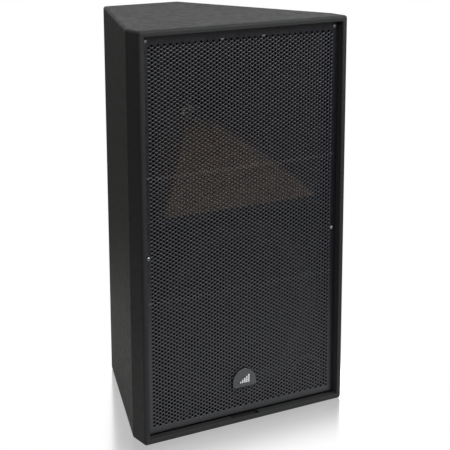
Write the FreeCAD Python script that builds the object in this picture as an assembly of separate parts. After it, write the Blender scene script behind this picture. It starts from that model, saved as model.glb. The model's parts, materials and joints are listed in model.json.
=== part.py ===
import FreeCAD, Part
import math
import os
from FreeCAD import Vector

# A two-way PA speaker cabinet. Millimetres, +Z up, the grille faces -Y, +X is to the right
# of someone who looks at the grille. The origin is on the floor, under the middle of the box.

# ---- driving dimensions: cabinet -------------------------------------------------------------
cabinet_width = 490.0
cabinet_height = 836.0
cabinet_depth = 434.0
straight_side_depth = 52.0
back_width = 186.0
panel = 12.0
edge_radius = 6.0
inner_edge_chamfer = 1.2
baffle_thickness = 15.0
batten = 20.0
batten_thickness = 10.0
brace_front = -30.0
brace_back = 10.0
brace_bottom = 415.0
brace_thickness = 18.0
side_lining_thickness = 18.0
side_lining_reach = (0.18, 0.86)
side_lining_heights = ((30.0, 400.0), (450.0, 790.0))
back_lining_heights = (290.0, 640.0)
top_lining_depths = (-110.0, 150.0)
top_lining_thickness = 14.0

# ---- driving dimensions: grille and badge ----------------------------------------------------
grille_recess = 15.5
grille_thickness = 1.5
grille_side_gap = 1.5
grille_bottom_gap = 5.0
grille_return = 8.0
grille_batten_depth = 12.0
grille_screw_x = 222.5
grille_screw_heights = (386.0, 814.0)
grille_screw_head_radius = 3.9
grille_screw_head_height = 2.6
grille_corner_radius = 3.0
notch_width = 66.0
notch_depth = 6.0
notch_front_wall = 2.5
notch_corner_radius = 3.0
badge_width = 57.0
badge_height = 40.0
badge_thickness = 5.5
badge_bottom = 74.0
badge_shoulder = 11.0
badge_corner = 5.0
badge_edge_radius = 2.0
badge_pin_x = 14.0
badge_pin_rise = 14.0
badge_pin_radius = 1.5
badge_clip_radius = 5.0

# ---- driving dimensions: woofer (380 mm class) -----------------------------------------------
woofer_height = 236.0
woofer_flange_radius = 194.0
woofer_hole_radius = 177.0
woofer_rebate = 7.0
woofer_bolt_circle_radius = 185.5
woofer_bolts = 8
woofer_rim_inner_radius = 178.0
woofer_windows = 8
basket_wall_radius = 176.3
basket_back_radius = 101.0
basket_back_depth = 95.0
coil_radius = 38.0
coil_gap = 1.2
cone_edge_radius = 158.5
cone_roll_radius = 153.0
cone_neck_depth = 62.0
dust_cap_radius = 60.0
dust_cap_rim_depth = 42.2
dust_cap_apex_depth = 31.0
dust_cap_thickness = 1.2
surround_thickness = 0.8
surround_folds = ((159.0, 167.0), (167.0, 175.0))
surround_fold_height = 2.9
surround_outer_radius = 177.4
spider_depth = 75.6
spider_thickness = 0.8
spider_fold = 5.1
spider_folds = 8
spider_crest = 1.6
woofer_terminal_x = 14.0
woofer_terminal_rise = 112.0
woofer_terminal_back = 104.0

# ---- driving dimensions: horn and compression driver -----------------------------------------
horn_height = 625.0
horn_flange_half_width = 200.0
horn_flange_half_height = 181.0
horn_mouth_half_width = 184.0
horn_mouth_half_height = 165.0
horn_length = 200.0
horn_wall = 6.0
horn_flange_thickness = 6.0
horn_screw_inset = 6.5
throat_radius = 25.0
horn_mount_radius = 62.0
horn_mount_thickness = 8.0
driver_bolt_circle_radius = 50.8
driver_radius = 80.0
driver_plate_thickness = 10.0
driver_magnet_back = 30.0
driver_gap_back = 38.0
driver_clamp_back = 42.0
driver_cover_back = 64.0

# ---- driving dimensions: ports, crossover, rear input dish -----------------------------------
port_x = 168.0
port_height = 62.0
port_bore_radius = 35.0
port_wall = 3.0
port_rim = 6.0
port_length = 80.0
board_half_width = 75.0
board_front = 40.0
board_length = 110.0
board_height = 20.0
board_thickness = 2.0
board_screw_inset = 7.0
dish_height = 190.0
dish_half_width = 60.0
dish_half_height = 45.0
dish_depth = 30.0
dish_flange = 15.0
dish_wall = 2.0
dish_rebate_depth = 3.0
dish_flange_sink = 0.8
dish_screw_outset = 8.0
socket_x = 30.0
socket_rise = 14.0
socket_half_width = 15.0
socket_body_radius = 12.9
socket_bore_radius = 11.4
socket_core_radius = 4.2
socket_flange_thickness = 2.5
socket_body_length = 24.0
socket_screw_offset = 11.5
switch_drop = 26.0
switch_travel = 8.0
rigging_height = 700.0
rigging_barrel_radius = 6.5
rigging_bore_radius = 4.25

# ---- driving dimensions: fasteners and leads -------------------------------------------------
wood_screw_radius = 2.0
bolt_radius = 3.0
small_screw_radius = 1.5
input_lead_radius = 3.0
inner_lead_radius = 2.5

# ---- places worked out from the driving dimensions -------------------------------------------
half_width = cabinet_width / 2
half_back = back_width / 2
front = -cabinet_depth / 2
back = cabinet_depth / 2
inner_half_width = half_width - panel
inner_top = cabinet_height - panel
taper = math.atan2(half_width - half_back, cabinet_depth - straight_side_depth)
grille_front = front + grille_recess
grille_back = grille_front + grille_thickness
grille_half_width = inner_half_width - grille_side_gap
grille_bottom = panel + grille_bottom_gap
grille_top = inner_top - grille_side_gap
baffle_front = grille_back + grille_batten_depth
baffle_back = baffle_front + baffle_thickness
horn_front = baffle_front - horn_flange_thickness
throat = horn_front + horn_length
dish_floor = back - dish_depth
cone_neck_radius = coil_radius + 0.5
board_top = board_height + board_thickness

SIDES = {"left": -1, "right": 1}


# ---- shape helpers ---------------------------------------------------------------------------
def save(name, shape):
    """Write one node to its STEP file."""
    shape.exportStep("parts/" + name + ".step")
    print(name, len(shape.Solids), "solids", round(shape.Volume / 1000, 1), "cm3", shape.isValid())


def box(x, y, z):
    """A box between the pairs x, y and z."""
    return Part.makeBox(x[1] - x[0], y[1] - y[0], z[1] - z[0], Vector(x[0], y[0], z[0]))


def disc(radius, y0, y1, x, z):
    """A cylinder whose axis runs front to back."""
    return Part.makeCylinder(radius, y1 - y0, Vector(x, y0, z), Vector(0, 1, 0))


def ring(outer, inner, y0, y1, x, z):
    """A flat ring whose axis runs front to back."""
    return disc(outer, y0, y1, x, z).cut(disc(inner, y0 - 1, y1 + 1, x, z))


def upright(radius, z0, z1, x, y):
    """A cylinder whose axis is vertical."""
    return Part.makeCylinder(radius, z1 - z0, Vector(x, y, z0), Vector(0, 0, 1))


def prism(points, z0, z1):
    """A plan outline raised from z0 to z1."""
    corners = [Vector(x, y, z0) for x, y in points]
    wire = Part.makePolygon(corners + corners[:1])
    return Part.Face(wire).extrude(Vector(0, 0, z1 - z0))


def stretch_edge(points):
    """One stretch of an outline: two points are a line, three an arc."""
    if len(points) == 2:
        return Part.LineSegment(*points).toShape()
    return Part.Arc(*points).toShape()


def turned(path, x, z):
    """Turn a closed outline of radius and depth about a front-to-back axis."""
    edges = [stretch_edge([Vector(x + radius, y, z) for radius, y in stretch]) for stretch in path]
    face = Part.Face(Part.Wire(edges))
    return face.revolve(Vector(x, 0, z), Vector(0, 1, 0), 360)


def dome_arc(apex, rim_radius, rim):
    """A spherical dome's line from its apex on the axis to its rim."""
    rise = rim - apex
    curve = (rim_radius ** 2 + rise ** 2) / (2 * rise)
    middle = apex + curve - math.copysign(math.sqrt(curve ** 2 - rim_radius ** 2 / 4), curve)
    return [(0, apex), (rim_radius / 2, middle), (rim_radius, rim)]


def polyline(points):
    """The straight stretches of a closed outline for turned()."""
    return list(zip(points, points[1:] + points[:1]))


def around(count, radius, x, z, start=0.0):
    """Centres of count places on a circle in the front plane."""
    turns = [math.radians(start + 360.0 * i / count) for i in range(count)]
    return [(x + radius * math.cos(t), z + radius * math.sin(t)) for t in turns]


def tube(points, radius):
    """A round lead: straight runs joined by the largest tangent arcs that the runs allow."""
    route = [Vector(*p) for p in points]
    edges = []
    start = route[0]
    for before, corner, after in zip(route, route[1:], route[2:]):
        run_in = (before - corner).normalize()
        run_out = (after - corner).normalize()
        half_turn = (math.pi - run_in.getAngle(run_out)) / 2
        reach = 0.45 * min(before.distanceToPoint(corner), after.distanceToPoint(corner))
        bend = reach / math.tan(half_turn)
        middle_way = (run_in + run_out).normalize()
        middle = corner + middle_way * (bend / math.cos(half_turn) - bend)
        arc_start = corner + run_in * reach
        arc_end = corner + run_out * reach
        edges.append(Part.LineSegment(start, arc_start).toShape())
        edges.append(Part.Arc(arc_start, middle, arc_end).toShape())
        print("   bend radius", round(bend, 1))
        start = arc_end
    edges.append(Part.LineSegment(start, route[-1]).toShape())
    path = Part.Wire(edges)
    section = Part.Wire(Part.makeCircle(radius, route[0], route[1] - route[0]))
    lead = path.makePipeShell([section], True, False)
    print("   length", round(path.Length, 1), "volume / (section x length)",
          round(lead.Volume / (math.pi * radius * radius * path.Length), 4))
    return lead


def group(shapes):
    """Several separate solids in one node."""
    return Part.makeCompound(shapes)


def joined(shapes):
    """Several shapes made into one solid."""
    return shapes[0].multiFuse(shapes[1:]).removeSplitter()


def without(shape, tools):
    """A shape with every tool cut out of it."""
    return shape.cut(Part.makeCompound(tools))


# ---- cabinet plan ----------------------------------------------------------------------------
def plan(inset, side=1):
    """Plan points of one half, front to back, set in by the panel thickness."""
    straight_x = half_width - inset
    bend_y = front + straight_side_depth - inset * math.tan(taper / 2)
    back_x = half_back - inset * math.tan((math.pi / 2 - taper) / 2)
    points = [(straight_x, front), (straight_x, bend_y), (back_x, back - inset)]
    return [(side * x, y) for x, y in points]


def inner_wall_x(y, inset=panel):
    """Distance from the middle to the inner face of the angled side at depth y."""
    (x0, y0), (x1, y1) = plan(inset)[1:]
    return x0 + (x1 - x0) * (y - y0) / (y1 - y0)


def rounded_block():
    """The whole outer form with every outer edge rounded."""
    block = prism(plan(0, 1) + plan(0, -1)[::-1], 0, cabinet_height)
    return block.makeFillet(edge_radius, block.Edges)


def recess_chamfer():
    """The slight bevel round the inner edge of the front lip."""
    outlines = []
    for y, grow in ((front - 0.01, inner_edge_chamfer + 0.01), (front + inner_edge_chamfer, 0.0)):
        x = inner_half_width + grow
        low = panel - grow
        high = inner_top + grow
        corners = [Vector(-x, y, low), Vector(x, y, low), Vector(x, y, high), Vector(-x, y, high)]
        outlines.append(Part.makePolygon(corners + corners[:1]))
    return Part.makeLoft(outlines, True, True)


def finger_notch():
    """A routed pocket in the bottom panel, behind the lip, to get a finger under the grille."""
    x = (-notch_width / 2, notch_width / 2)
    y = (front + notch_front_wall, grille_back + 2)
    pocket = box(x, y, (panel - notch_depth, panel + 5))
    corner_edges = [e for e in pocket.Edges if e.BoundBox.ZLength > 1]
    return pocket.makeFillet(notch_corner_radius, corner_edges)


def make_panels():
    """Six wall panels, mitred where they meet, and the top and bottom."""
    block = rounded_block()
    bevel = recess_chamfer()
    whole_plan = plan(0, 1) + plan(0, -1)[::-1]
    save("top_panel", block.common(prism(whole_plan, inner_top, cabinet_height)).cut(bevel))
    bottom = block.common(prism(whole_plan, 0, panel))
    save("bottom_panel", without(bottom, [bevel, finger_notch()]))
    for name, side in SIDES.items():
        outer = plan(0, side)
        inner = plan(panel, side)
        straight = prism([outer[0], outer[1], inner[1], inner[0]], panel, inner_top)
        save(name + "_side_panel", block.common(straight).cut(bevel))
        angled = prism([outer[1], outer[2], inner[2], inner[1]], panel, inner_top)
        save(name + "_angled_panel", block.common(angled))
    corners = [plan(0, -1)[2], plan(0, 1)[2], plan(panel, 1)[2], plan(panel, -1)[2]]
    rear = block.common(prism(corners, panel, inner_top))
    holes = [disc(wood_screw_radius, back - panel, back, *place)
             for place in dish_screw_places()]
    save("back_panel", without(rear, [dish_rebate(), dish_opening(), rigging_hole()] + holes))


def port_places():
    return [(side * port_x, port_height) for side in SIDES.values()]


def grille_screw_places():
    return [(side * grille_screw_x, z) for side in SIDES.values() for z in grille_screw_heights]


def horn_screw_places():
    """Screws through the horn flange: four corners, and the middle of each side."""
    x = horn_flange_half_width - horn_screw_inset
    z = horn_flange_half_height - horn_screw_inset
    places = [(sx * x, horn_height + sz * z) for sx in (-1, 1) for sz in (-1, 0, 1)]
    return places + [(0, horn_height - z), (0, horn_height + z)]


def make_baffle():
    """The front baffle with its cut-outs and screw holes."""
    blank = box((-inner_half_width, inner_half_width), (baffle_front, baffle_back),
                (panel, inner_top))
    x = horn_mouth_half_width + horn_wall
    z = horn_mouth_half_height + horn_wall
    horn_window = box((-x, x), (baffle_front - 1, baffle_back + 1),
                      (horn_height - z, horn_height + z))
    tools = [horn_window]
    tools.append(disc(woofer_hole_radius, baffle_front - 1, baffle_back + 1, 0, woofer_height))
    tools.append(disc(woofer_flange_radius + 0.5, baffle_front - 1,
                      baffle_front + woofer_rebate, 0, woofer_height))
    for place in port_places():
        tools.append(disc(port_bore_radius + port_wall, baffle_front - 1, baffle_back + 1, *place))
    for place in woofer_bolt_places():
        tools.append(disc(bolt_radius, baffle_front, baffle_back + 1, *place))
    for place in horn_screw_places():
        tools.append(disc(wood_screw_radius, baffle_front - 1, baffle_back + 1, *place))
    save("baffle", without(blank, tools))


def make_battens():
    """Strips that the grille and the baffle are screwed and glued to, and the cross brace."""
    strips = []
    for side in SIDES.values():
        x = sorted((side * inner_half_width, side * (inner_half_width - batten)))
        strip = box(x, (grille_back, baffle_front), (panel, inner_top))
        holes = [disc(wood_screw_radius, grille_back - 1, baffle_front + 1, *place)
                 for place in grille_screw_places()]
        strips.append(without(strip, holes))
    save("grille_battens", group(strips))
    behind = (baffle_back, baffle_back + batten)
    half = inner_wall_x(baffle_back + batten)
    floor_strip = box((-half, half), behind, (panel, panel + batten_thickness))
    top_strip = box((-half, half), behind, (inner_top - batten_thickness, inner_top))
    save("baffle_battens", group([floor_strip, top_strip]))
    corners = [(inner_wall_x(brace_front), brace_front), (inner_wall_x(brace_back), brace_back)]
    mirrored = [(-x, y) for x, y in corners[::-1]]
    save("cross_brace", prism(corners + mirrored, brace_bottom, brace_bottom + brace_thickness))


def make_lining():
    """Wadding on the inner walls, the inside of the back and the inside of the top."""
    for name, side in SIDES.items():
        corners = []
        for inset, reach in ((panel, side_lining_reach),
                             (panel + side_lining_thickness, side_lining_reach[::-1])):
            (x0, y0), (x1, y1) = plan(inset, side)[1:]
            corners += [(x0 + (x1 - x0) * along, y0 + (y1 - y0) * along) for along in reach]
        save("lining_" + name, group([prism(corners, *heights) for heights in side_lining_heights]))
    half_pad = plan(panel)[2][0] - 12
    pad_depths = (back - panel - side_lining_thickness, back - panel)
    save("lining_back", box((-half_pad, half_pad), pad_depths, back_lining_heights))
    half_shelf = inner_wall_x(top_lining_depths[1]) - 30
    save("lining_top", box((-half_shelf, half_shelf), top_lining_depths,
                           (inner_top - top_lining_thickness, inner_top)))


def make_ports():
    """Two moulded reflex port tubes with a flanged, flared mouth."""
    for (name, side), place in zip(SIDES.items(), port_places()):
        bore = port_bore_radius
        wall = bore + port_wall
        mouth = baffle_front - port_wall
        end = baffle_front + port_length
        rim = wall + port_rim
        outline = [[(bore + 3, mouth), (rim, mouth)],
                   [(rim, mouth), (rim, baffle_front)],
                   [(rim, baffle_front), (wall, baffle_front)],
                   [(wall, baffle_front), (wall, end)],
                   [(wall, end), (bore, end)],
                   [(bore, end), (bore, mouth + 3)],
                   [(bore, mouth + 3), (bore + 0.9, mouth + 0.9), (bore + 3, mouth)]]
        save("reflex_port_" + name, turned(outline, *place))


# ---- grille and badge ------------------------------------------------------------------------
def make_grille():
    """Pressed steel grille with a return along its bottom edge."""
    x = (-grille_half_width, grille_half_width)
    sheet = box(x, (grille_front, grille_back), (grille_bottom, grille_top))
    corner_edges = [e for e in sheet.Edges if e.BoundBox.YLength > 1]
    sheet = sheet.makeFillet(grille_corner_radius, corner_edges)
    half = inner_half_width - batten - 1
    lip = box((-half, half), (grille_back, grille_back + grille_return),
              (grille_bottom, grille_bottom + grille_thickness))
    plate = joined([sheet, lip])
    holes = [disc(2.2, grille_front - 1, grille_back + 1, *place)
             for place in grille_screw_places()]
    holes += [disc(badge_pin_radius, grille_front - 1, grille_back + 1, *place)
              for place in badge_pin_places()]
    save("grille", without(plate, holes))
    save("grille_screws", group([grille_screw(*place) for place in grille_screw_places()]))


def grille_screw(x, z):
    """A pan-head screw with a cross recess."""
    radius = grille_screw_head_radius
    rim = grille_front - 0.8
    crown = grille_front - grille_screw_head_height
    head = turned([[(0, grille_front), (radius, grille_front)],
                   [(radius, grille_front), (radius, rim)],
                   [(radius, rim), (radius * 2 / 3, crown + 0.4), (0, crown)],
                   [(0, crown), (0, grille_front)]], x, z)
    shank = disc(wood_screw_radius, grille_front, grille_back + grille_batten_depth - 1, x, z)
    recess = (crown - 0.4, crown + 1.0)
    slot = box((x - 2.0, x + 2.0), recess, (z - 0.4, z + 0.4))
    cross = box((x - 0.4, x + 0.4), recess, (z - 2.0, z + 2.0))
    return without(joined([head, shank]), [slot, cross])


def badge_pin_places():
    return [(side * badge_pin_x, badge_bottom + badge_pin_rise) for side in SIDES.values()]


def badge_outline(y):
    """A dome outline: flat foot, small round corners, arched top."""
    half = badge_width / 2
    foot = badge_bottom
    shoulder = badge_bottom + badge_shoulder
    corner = badge_corner
    bend = corner * (1 - math.sqrt(0.5))
    path = [[(half, shoulder), (half, foot + corner)],
            [(half, foot + corner), (half - bend, foot + bend), (half - corner, foot)],
            [(half - corner, foot), (corner - half, foot)],
            [(corner - half, foot), (bend - half, foot + bend), (-half, foot + corner)],
            [(-half, foot + corner), (-half, shoulder)],
            [(-half, shoulder), (0, badge_bottom + badge_height), (half, shoulder)]]
    return Part.Wire([stretch_edge([Vector(x, y, z) for x, z in stretch]) for stretch in path])


def make_badge():
    """A plain dome badge with two pins, and the spring clips that hold it behind the grille."""
    back_face = Part.Face(badge_outline(grille_front))
    body = back_face.extrude(Vector(0, -badge_thickness, 0))
    rim = [e for e in body.Edges if e.BoundBox.YMax < grille_front - badge_thickness + 0.1]
    body = body.makeFillet(badge_edge_radius, rim)
    pins = []
    clips = []
    for place in badge_pin_places():
        pins.append(disc(badge_pin_radius, grille_front - 0.5, grille_back + 4, *place))
        clips.append(ring(badge_clip_radius, badge_pin_radius,
                          grille_back, grille_back + 0.8, *place))
    save("badge", joined([body] + pins))
    save("badge_clips", group(clips))


# ---- woofer ----------------------------------------------------------------------------------
def at(depth):
    """A depth behind the baffle's front face, as y."""
    return baffle_front + depth


def woofer_turned(path):
    """A turned woofer piece; the outline is given as radius and depth behind the baffle face."""
    return turned([[(r, at(t)) for r, t in stretch] for stretch in path], 0, woofer_height)


def woofer_ring(outer, inner, t0, t1):
    return ring(outer, inner, at(t0), at(t1), 0, woofer_height)


def woofer_bolt_places():
    return around(woofer_bolts, woofer_bolt_circle_radius, 0, woofer_height, 22.5)


def make_basket():
    """The cast basket: flange, sloping wall with eight windows, and its back ring."""
    rim = woofer_flange_radius
    inner = woofer_rim_inner_radius
    back_depth = basket_back_depth
    seat = spider_depth - 1.6
    seat_radius = basket_back_radius - 20
    shell = woofer_turned(polyline([
        (inner, 0), (rim, 0), (rim, woofer_rebate), (basket_wall_radius, woofer_rebate),
        (basket_back_radius, back_depth), (60.0, back_depth), (60.0, back_depth - 5),
        (96.0, back_depth - 5), (98.0, seat + 4), (seat_radius, seat + 4), (seat_radius, seat),
        (103.5, seat), (172.0, 9), (177.0, 6), (inner, 4)]))
    windows = []
    for turn in range(woofer_windows):
        window = box((112.0, 168.0), (at(12), at(71)), (-26.0, 26.0))
        window.rotate(Vector(0, 0, 0), Vector(0, 1, 0), 360.0 * turn / woofer_windows)
        window.translate(Vector(0, 0, woofer_height))
        windows.append(window)
    holes = [disc(bolt_radius + 0.3, at(-1), at(woofer_rebate + 1), *place)
             for place in woofer_bolt_places()]
    save("woofer_basket", without(shell, windows + holes))


def make_woofer_frame():
    """The basket, its front gasket, its mounting screws and its terminals."""
    make_basket()
    gasket = woofer_ring(woofer_flange_radius - 1, woofer_rim_inner_radius + 0.5, -2.5, 0)
    gasket_holes = [disc(6.0, at(-4), at(1), *place) for place in woofer_bolt_places()]
    save("woofer_gasket", without(gasket, gasket_holes))
    screws = []
    for x, z in woofer_bolt_places():
        head = disc(5.0, at(-6), at(0), x, z)
        socket = disc(2.6, at(-6), at(-2.5), x, z)
        shank = disc(bolt_radius, at(0), at(baffle_thickness + 4), x, z)
        screws.append(joined([head, shank]).cut(socket))
    save("woofer_screws", group(screws))
    wall = woofer_turned(polyline([(0, woofer_rebate), (basket_wall_radius, woofer_rebate),
                                   (basket_back_radius, basket_back_depth),
                                   (0, basket_back_depth)]))
    post_z = woofer_height + woofer_terminal_rise
    tab = box((-24.0, 24.0), (at(84), at(92)), (post_z - 14, post_z + 8))
    posts = [disc(3.0, at(92), at(woofer_terminal_back), side * woofer_terminal_x, post_z)
             for side in SIDES.values()]
    save("woofer_terminals", joined([tab] + posts).cut(wall))


def make_woofer_motor():
    """Top plate, ferrite ring, and back plate with its vented pole."""
    front_face = basket_back_depth
    magnet_front = front_face + 8
    magnet_back = magnet_front + 25
    rear = magnet_back + 10
    pole = coil_radius - coil_gap
    save("woofer_top_plate", woofer_ring(78.0, coil_radius + coil_gap, front_face, magnet_front))
    save("woofer_magnet", woofer_ring(95.0, 56.0, magnet_front, magnet_back))
    plate = woofer_turned(polyline([(15.0, front_face), (pole, front_face), (pole, magnet_back),
                                    (88.0, magnet_back), (92.0, magnet_back + 4), (92.0, rear),
                                    (15.0, rear)]))
    save("woofer_back_plate", plate)


def make_surround():
    """The treated cloth edge: two half-round folds between two flat lands."""
    inner = cone_roll_radius + 0.5
    low = -0.1 - surround_thickness
    high = -0.1
    front_line = []
    back_line = []
    for start, end in surround_folds:
        middle = (start + end) / 2
        front_line.append([(start, low), (middle, low - surround_fold_height), (end, low)])
        back_line.append([(end, high), (middle, high - surround_fold_height + 0.1), (start, high)])
    first = surround_folds[0][0]
    last = surround_folds[-1][1]
    outer = surround_outer_radius
    save("woofer_surround", woofer_turned(
        [[(inner, low), (first, low)]] + front_line
        + [[(last, low), (outer, low)], [(outer, low), (outer, high)], [(outer, high), (last, high)]]
        + back_line[::-1] + [[(first, high), (inner, high)], [(inner, high), (inner, low)]]))


def make_cone():
    """The paper cone, from the edge that the surround is glued to, down to the coil."""
    neck = cone_neck_radius
    roll = cone_roll_radius
    edge = cone_edge_radius
    middle = 96.0
    save("woofer_cone", woofer_turned([
        [(edge, -0.1), (roll, -0.1)],
        [(roll, -0.1), (middle, 21.0), (neck, cone_neck_depth)],
        [(neck, cone_neck_depth), (neck, cone_neck_depth + 2)],
        [(neck, cone_neck_depth + 2), (middle + 0.3, 22.5), (roll, 1.4)],
        [(roll, 1.4), (edge, 1.4)],
        [(edge, 1.4), (edge, -0.1)]]))


def make_dust_cap():
    """The domed cap over the coil."""
    radius = dust_cap_radius
    apex = dust_cap_apex_depth
    rim = dust_cap_rim_depth
    wall = dust_cap_thickness
    save("woofer_dust_cap", woofer_turned([
        dome_arc(apex, radius, rim),
        [(radius, rim), (radius, rim + wall)],
        dome_arc(apex + wall, radius, rim + wall)[::-1],
        [(0, apex + wall), (0, apex)]]))


def corrugation(depth):
    """The wavy line of one face of the spider, from the coil outwards."""
    waves = []
    for turn in range(spider_folds):
        inner = cone_neck_radius + spider_fold * turn
        crest = depth + (spider_crest if turn % 2 else -spider_crest)
        waves.append([(inner, depth), (inner + spider_fold / 2, crest),
                      (inner + spider_fold, depth)])
    return waves


def make_spider():
    """The corrugated cloth ring that centres the coil."""
    inner = cone_neck_radius
    outer = inner + spider_fold * spider_folds
    front_face = spider_depth
    back_face = spider_depth + spider_thickness
    returning = [stretch[::-1] for stretch in corrugation(back_face)[::-1]]
    save("woofer_spider", woofer_turned(
        corrugation(front_face) + [[(outer, front_face), (outer, back_face)]]
        + returning + [[(inner, back_face), (inner, front_face)]]))


def make_woofer_piston():
    """Everything that moves: surround, cone, dust cap, coil and spider."""
    make_surround()
    make_cone()
    make_dust_cap()
    save("woofer_voice_coil", woofer_ring(cone_neck_radius, coil_radius - 0.5,
                                          cone_neck_depth, basket_back_depth + 11))
    make_spider()


# ---- horn and compression driver -------------------------------------------------------------
def horn_section(y, grow):
    """A rounded-rectangle section of the horn at depth y, wider than the air path by grow."""
    along = (y - horn_front) / horn_length
    half_x = throat_radius + (horn_mouth_half_width - throat_radius) * (1 - along) ** 1.35 + grow
    half_z = throat_radius + (horn_mouth_half_height - throat_radius) * (1 - along) ** 1.6 + grow
    corner = 10.0 + (throat_radius - 10.8) * along + grow
    bend = corner * (1 - math.sqrt(0.5))
    edges = []
    for sx, sz in ((1, 1), (-1, 1), (-1, -1), (1, -1)):
        on_side = Vector(sx * half_x, y, horn_height + sz * (half_z - corner))
        on_cap = Vector(sx * (half_x - corner), y, horn_height + sz * half_z)
        middle = Vector(sx * (half_x - bend), y, horn_height + sz * (half_z - bend))
        ends = (on_side, on_cap) if sx * sz > 0 else (on_cap, on_side)
        edges.append((ends, Part.Arc(ends[0], middle, ends[1]).toShape()))
    wire_edges = []
    for index, (ends, arc) in enumerate(edges):
        wire_edges.append(arc)
        following = edges[(index + 1) % 4][0][0]
        wire_edges.append(Part.LineSegment(ends[1], following).toShape())
    return Part.Wire(wire_edges)


def horn_air_path(grow, first, last):
    """The horn's inner or outer form as a smooth loft."""
    steps = 7
    depths = [first + (last - first) * i / (steps - 1) for i in range(steps)]
    return Part.makeLoft([horn_section(y, grow) for y in depths], True, False)


def make_horn():
    """Moulded horn flare with its mounting flange, and the screws that hold it."""
    x = horn_flange_half_width
    z = horn_flange_half_height
    flange = box((-x, x), (horn_front, baffle_front), (horn_height - z, horn_height + z))
    corner_edges = [e for e in flange.Edges if e.BoundBox.YLength > 1]
    flange = flange.makeFillet(8.0, corner_edges)
    mouth = horn_air_path(0.0, horn_front, throat)
    hood = horn_air_path(horn_wall, horn_front, throat)
    mount_front = throat - horn_mount_thickness
    mount = disc(horn_mount_radius, mount_front, throat, 0, horn_height)
    holes = [disc(bolt_radius + 0.2, mount_front - 1, throat + 1, *place)
             for place in driver_bolt_places()]
    holes += [disc(wood_screw_radius + 0.2, horn_front - 1, baffle_front + 1, *place)
              for place in horn_screw_places()]
    shell = hood.multiFuse([flange, mount])
    save("horn_flare", without(shell.cut(mouth), holes))
    screws = []
    for place in horn_screw_places():
        head = disc(4.2, horn_front - 2.4, horn_front, *place)
        shank = disc(wood_screw_radius, horn_front, baffle_back - 1, *place)
        recess = disc(1.6, horn_front - 2.5, horn_front - 1, *place)
        screws.append(joined([head, shank]).cut(recess))
    save("horn_screws", group(screws))


def driver_bolt_places():
    return around(4, driver_bolt_circle_radius, 0, horn_height, 45.0)


def driver_turned(points):
    """A turned driver piece; the outline is given as radius and depth behind the throat."""
    return turned(polyline([(r, throat + t) for r, t in points]), 0, horn_height)


def driver_ring(outer, inner, t0, t1):
    return ring(outer, inner, throat + t0, throat + t1, 0, horn_height)


def make_diaphragm():
    """The dome, its flat edge and its voice coil, in one piece."""
    coil_outer = 37.9
    coil_inner = 36.7
    rim_radius = 42.0
    edge_front = throat + 41.8
    edge_back = throat + 42.6
    coil_front = throat + 32.0
    apex = throat + 52.0
    dome = turned([dome_arc(apex, coil_outer, edge_back),
                   [(coil_outer, edge_back), (rim_radius, edge_back)],
                   [(rim_radius, edge_back), (rim_radius, edge_front)],
                   [(rim_radius, edge_front), (coil_outer, edge_front)],
                   [(coil_outer, edge_front), (coil_outer, coil_front)],
                   [(coil_outer, coil_front), (coil_inner, coil_front)],
                   [(coil_inner, coil_front), (coil_inner, edge_front + 0.4)],
                   dome_arc(apex - 1, coil_inner, edge_front + 0.4)[::-1],
                   [(0, apex - 1), (0, apex)]], 0, horn_height)
    save("driver_diaphragm", dome)


def make_driver():
    """Compression driver behind the horn: plates, magnet, diaphragm, cover and bolts."""
    seat = driver_plate_thickness
    gap = driver_gap_back
    plate = driver_turned([(throat_radius, 0), (driver_radius, 0), (driver_radius, seat),
                           (36, seat), (36, gap + 1), (30, gap + 3.5), (18, gap + 3.5),
                           (throat_radius - 6, 20)])
    holes = [disc(bolt_radius, throat - 1, throat + seat + 1, *place)
             for place in driver_bolt_places()]
    save("driver_front_plate", without(plate, holes))
    save("driver_magnet", driver_ring(driver_radius - 1, 58, seat, driver_magnet_back))
    save("driver_top_plate", driver_ring(driver_radius - 4, 38.6, driver_magnet_back, gap))
    save("driver_clamp_ring", driver_ring(60, 43, gap, driver_clamp_back))
    make_diaphragm()
    rear = driver_cover_back
    cover = driver_turned([(62, gap), (72, gap), (72, rear - 6), (66, rear), (0, rear),
                           (0, rear - 3), (64, rear - 3), (68, rear - 7), (68, gap + 6),
                           (62, gap + 6)])
    save("driver_rear_cover", cover)
    bolts = []
    for x, z in driver_bolt_places():
        shank = disc(bolt_radius, throat - 12, throat + seat - 1, x, z)
        head = disc(5.0, throat - 16, throat - horn_mount_thickness, x, z)
        bolts.append(joined([shank, head]))
    save("driver_bolts", group(bolts))


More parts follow.
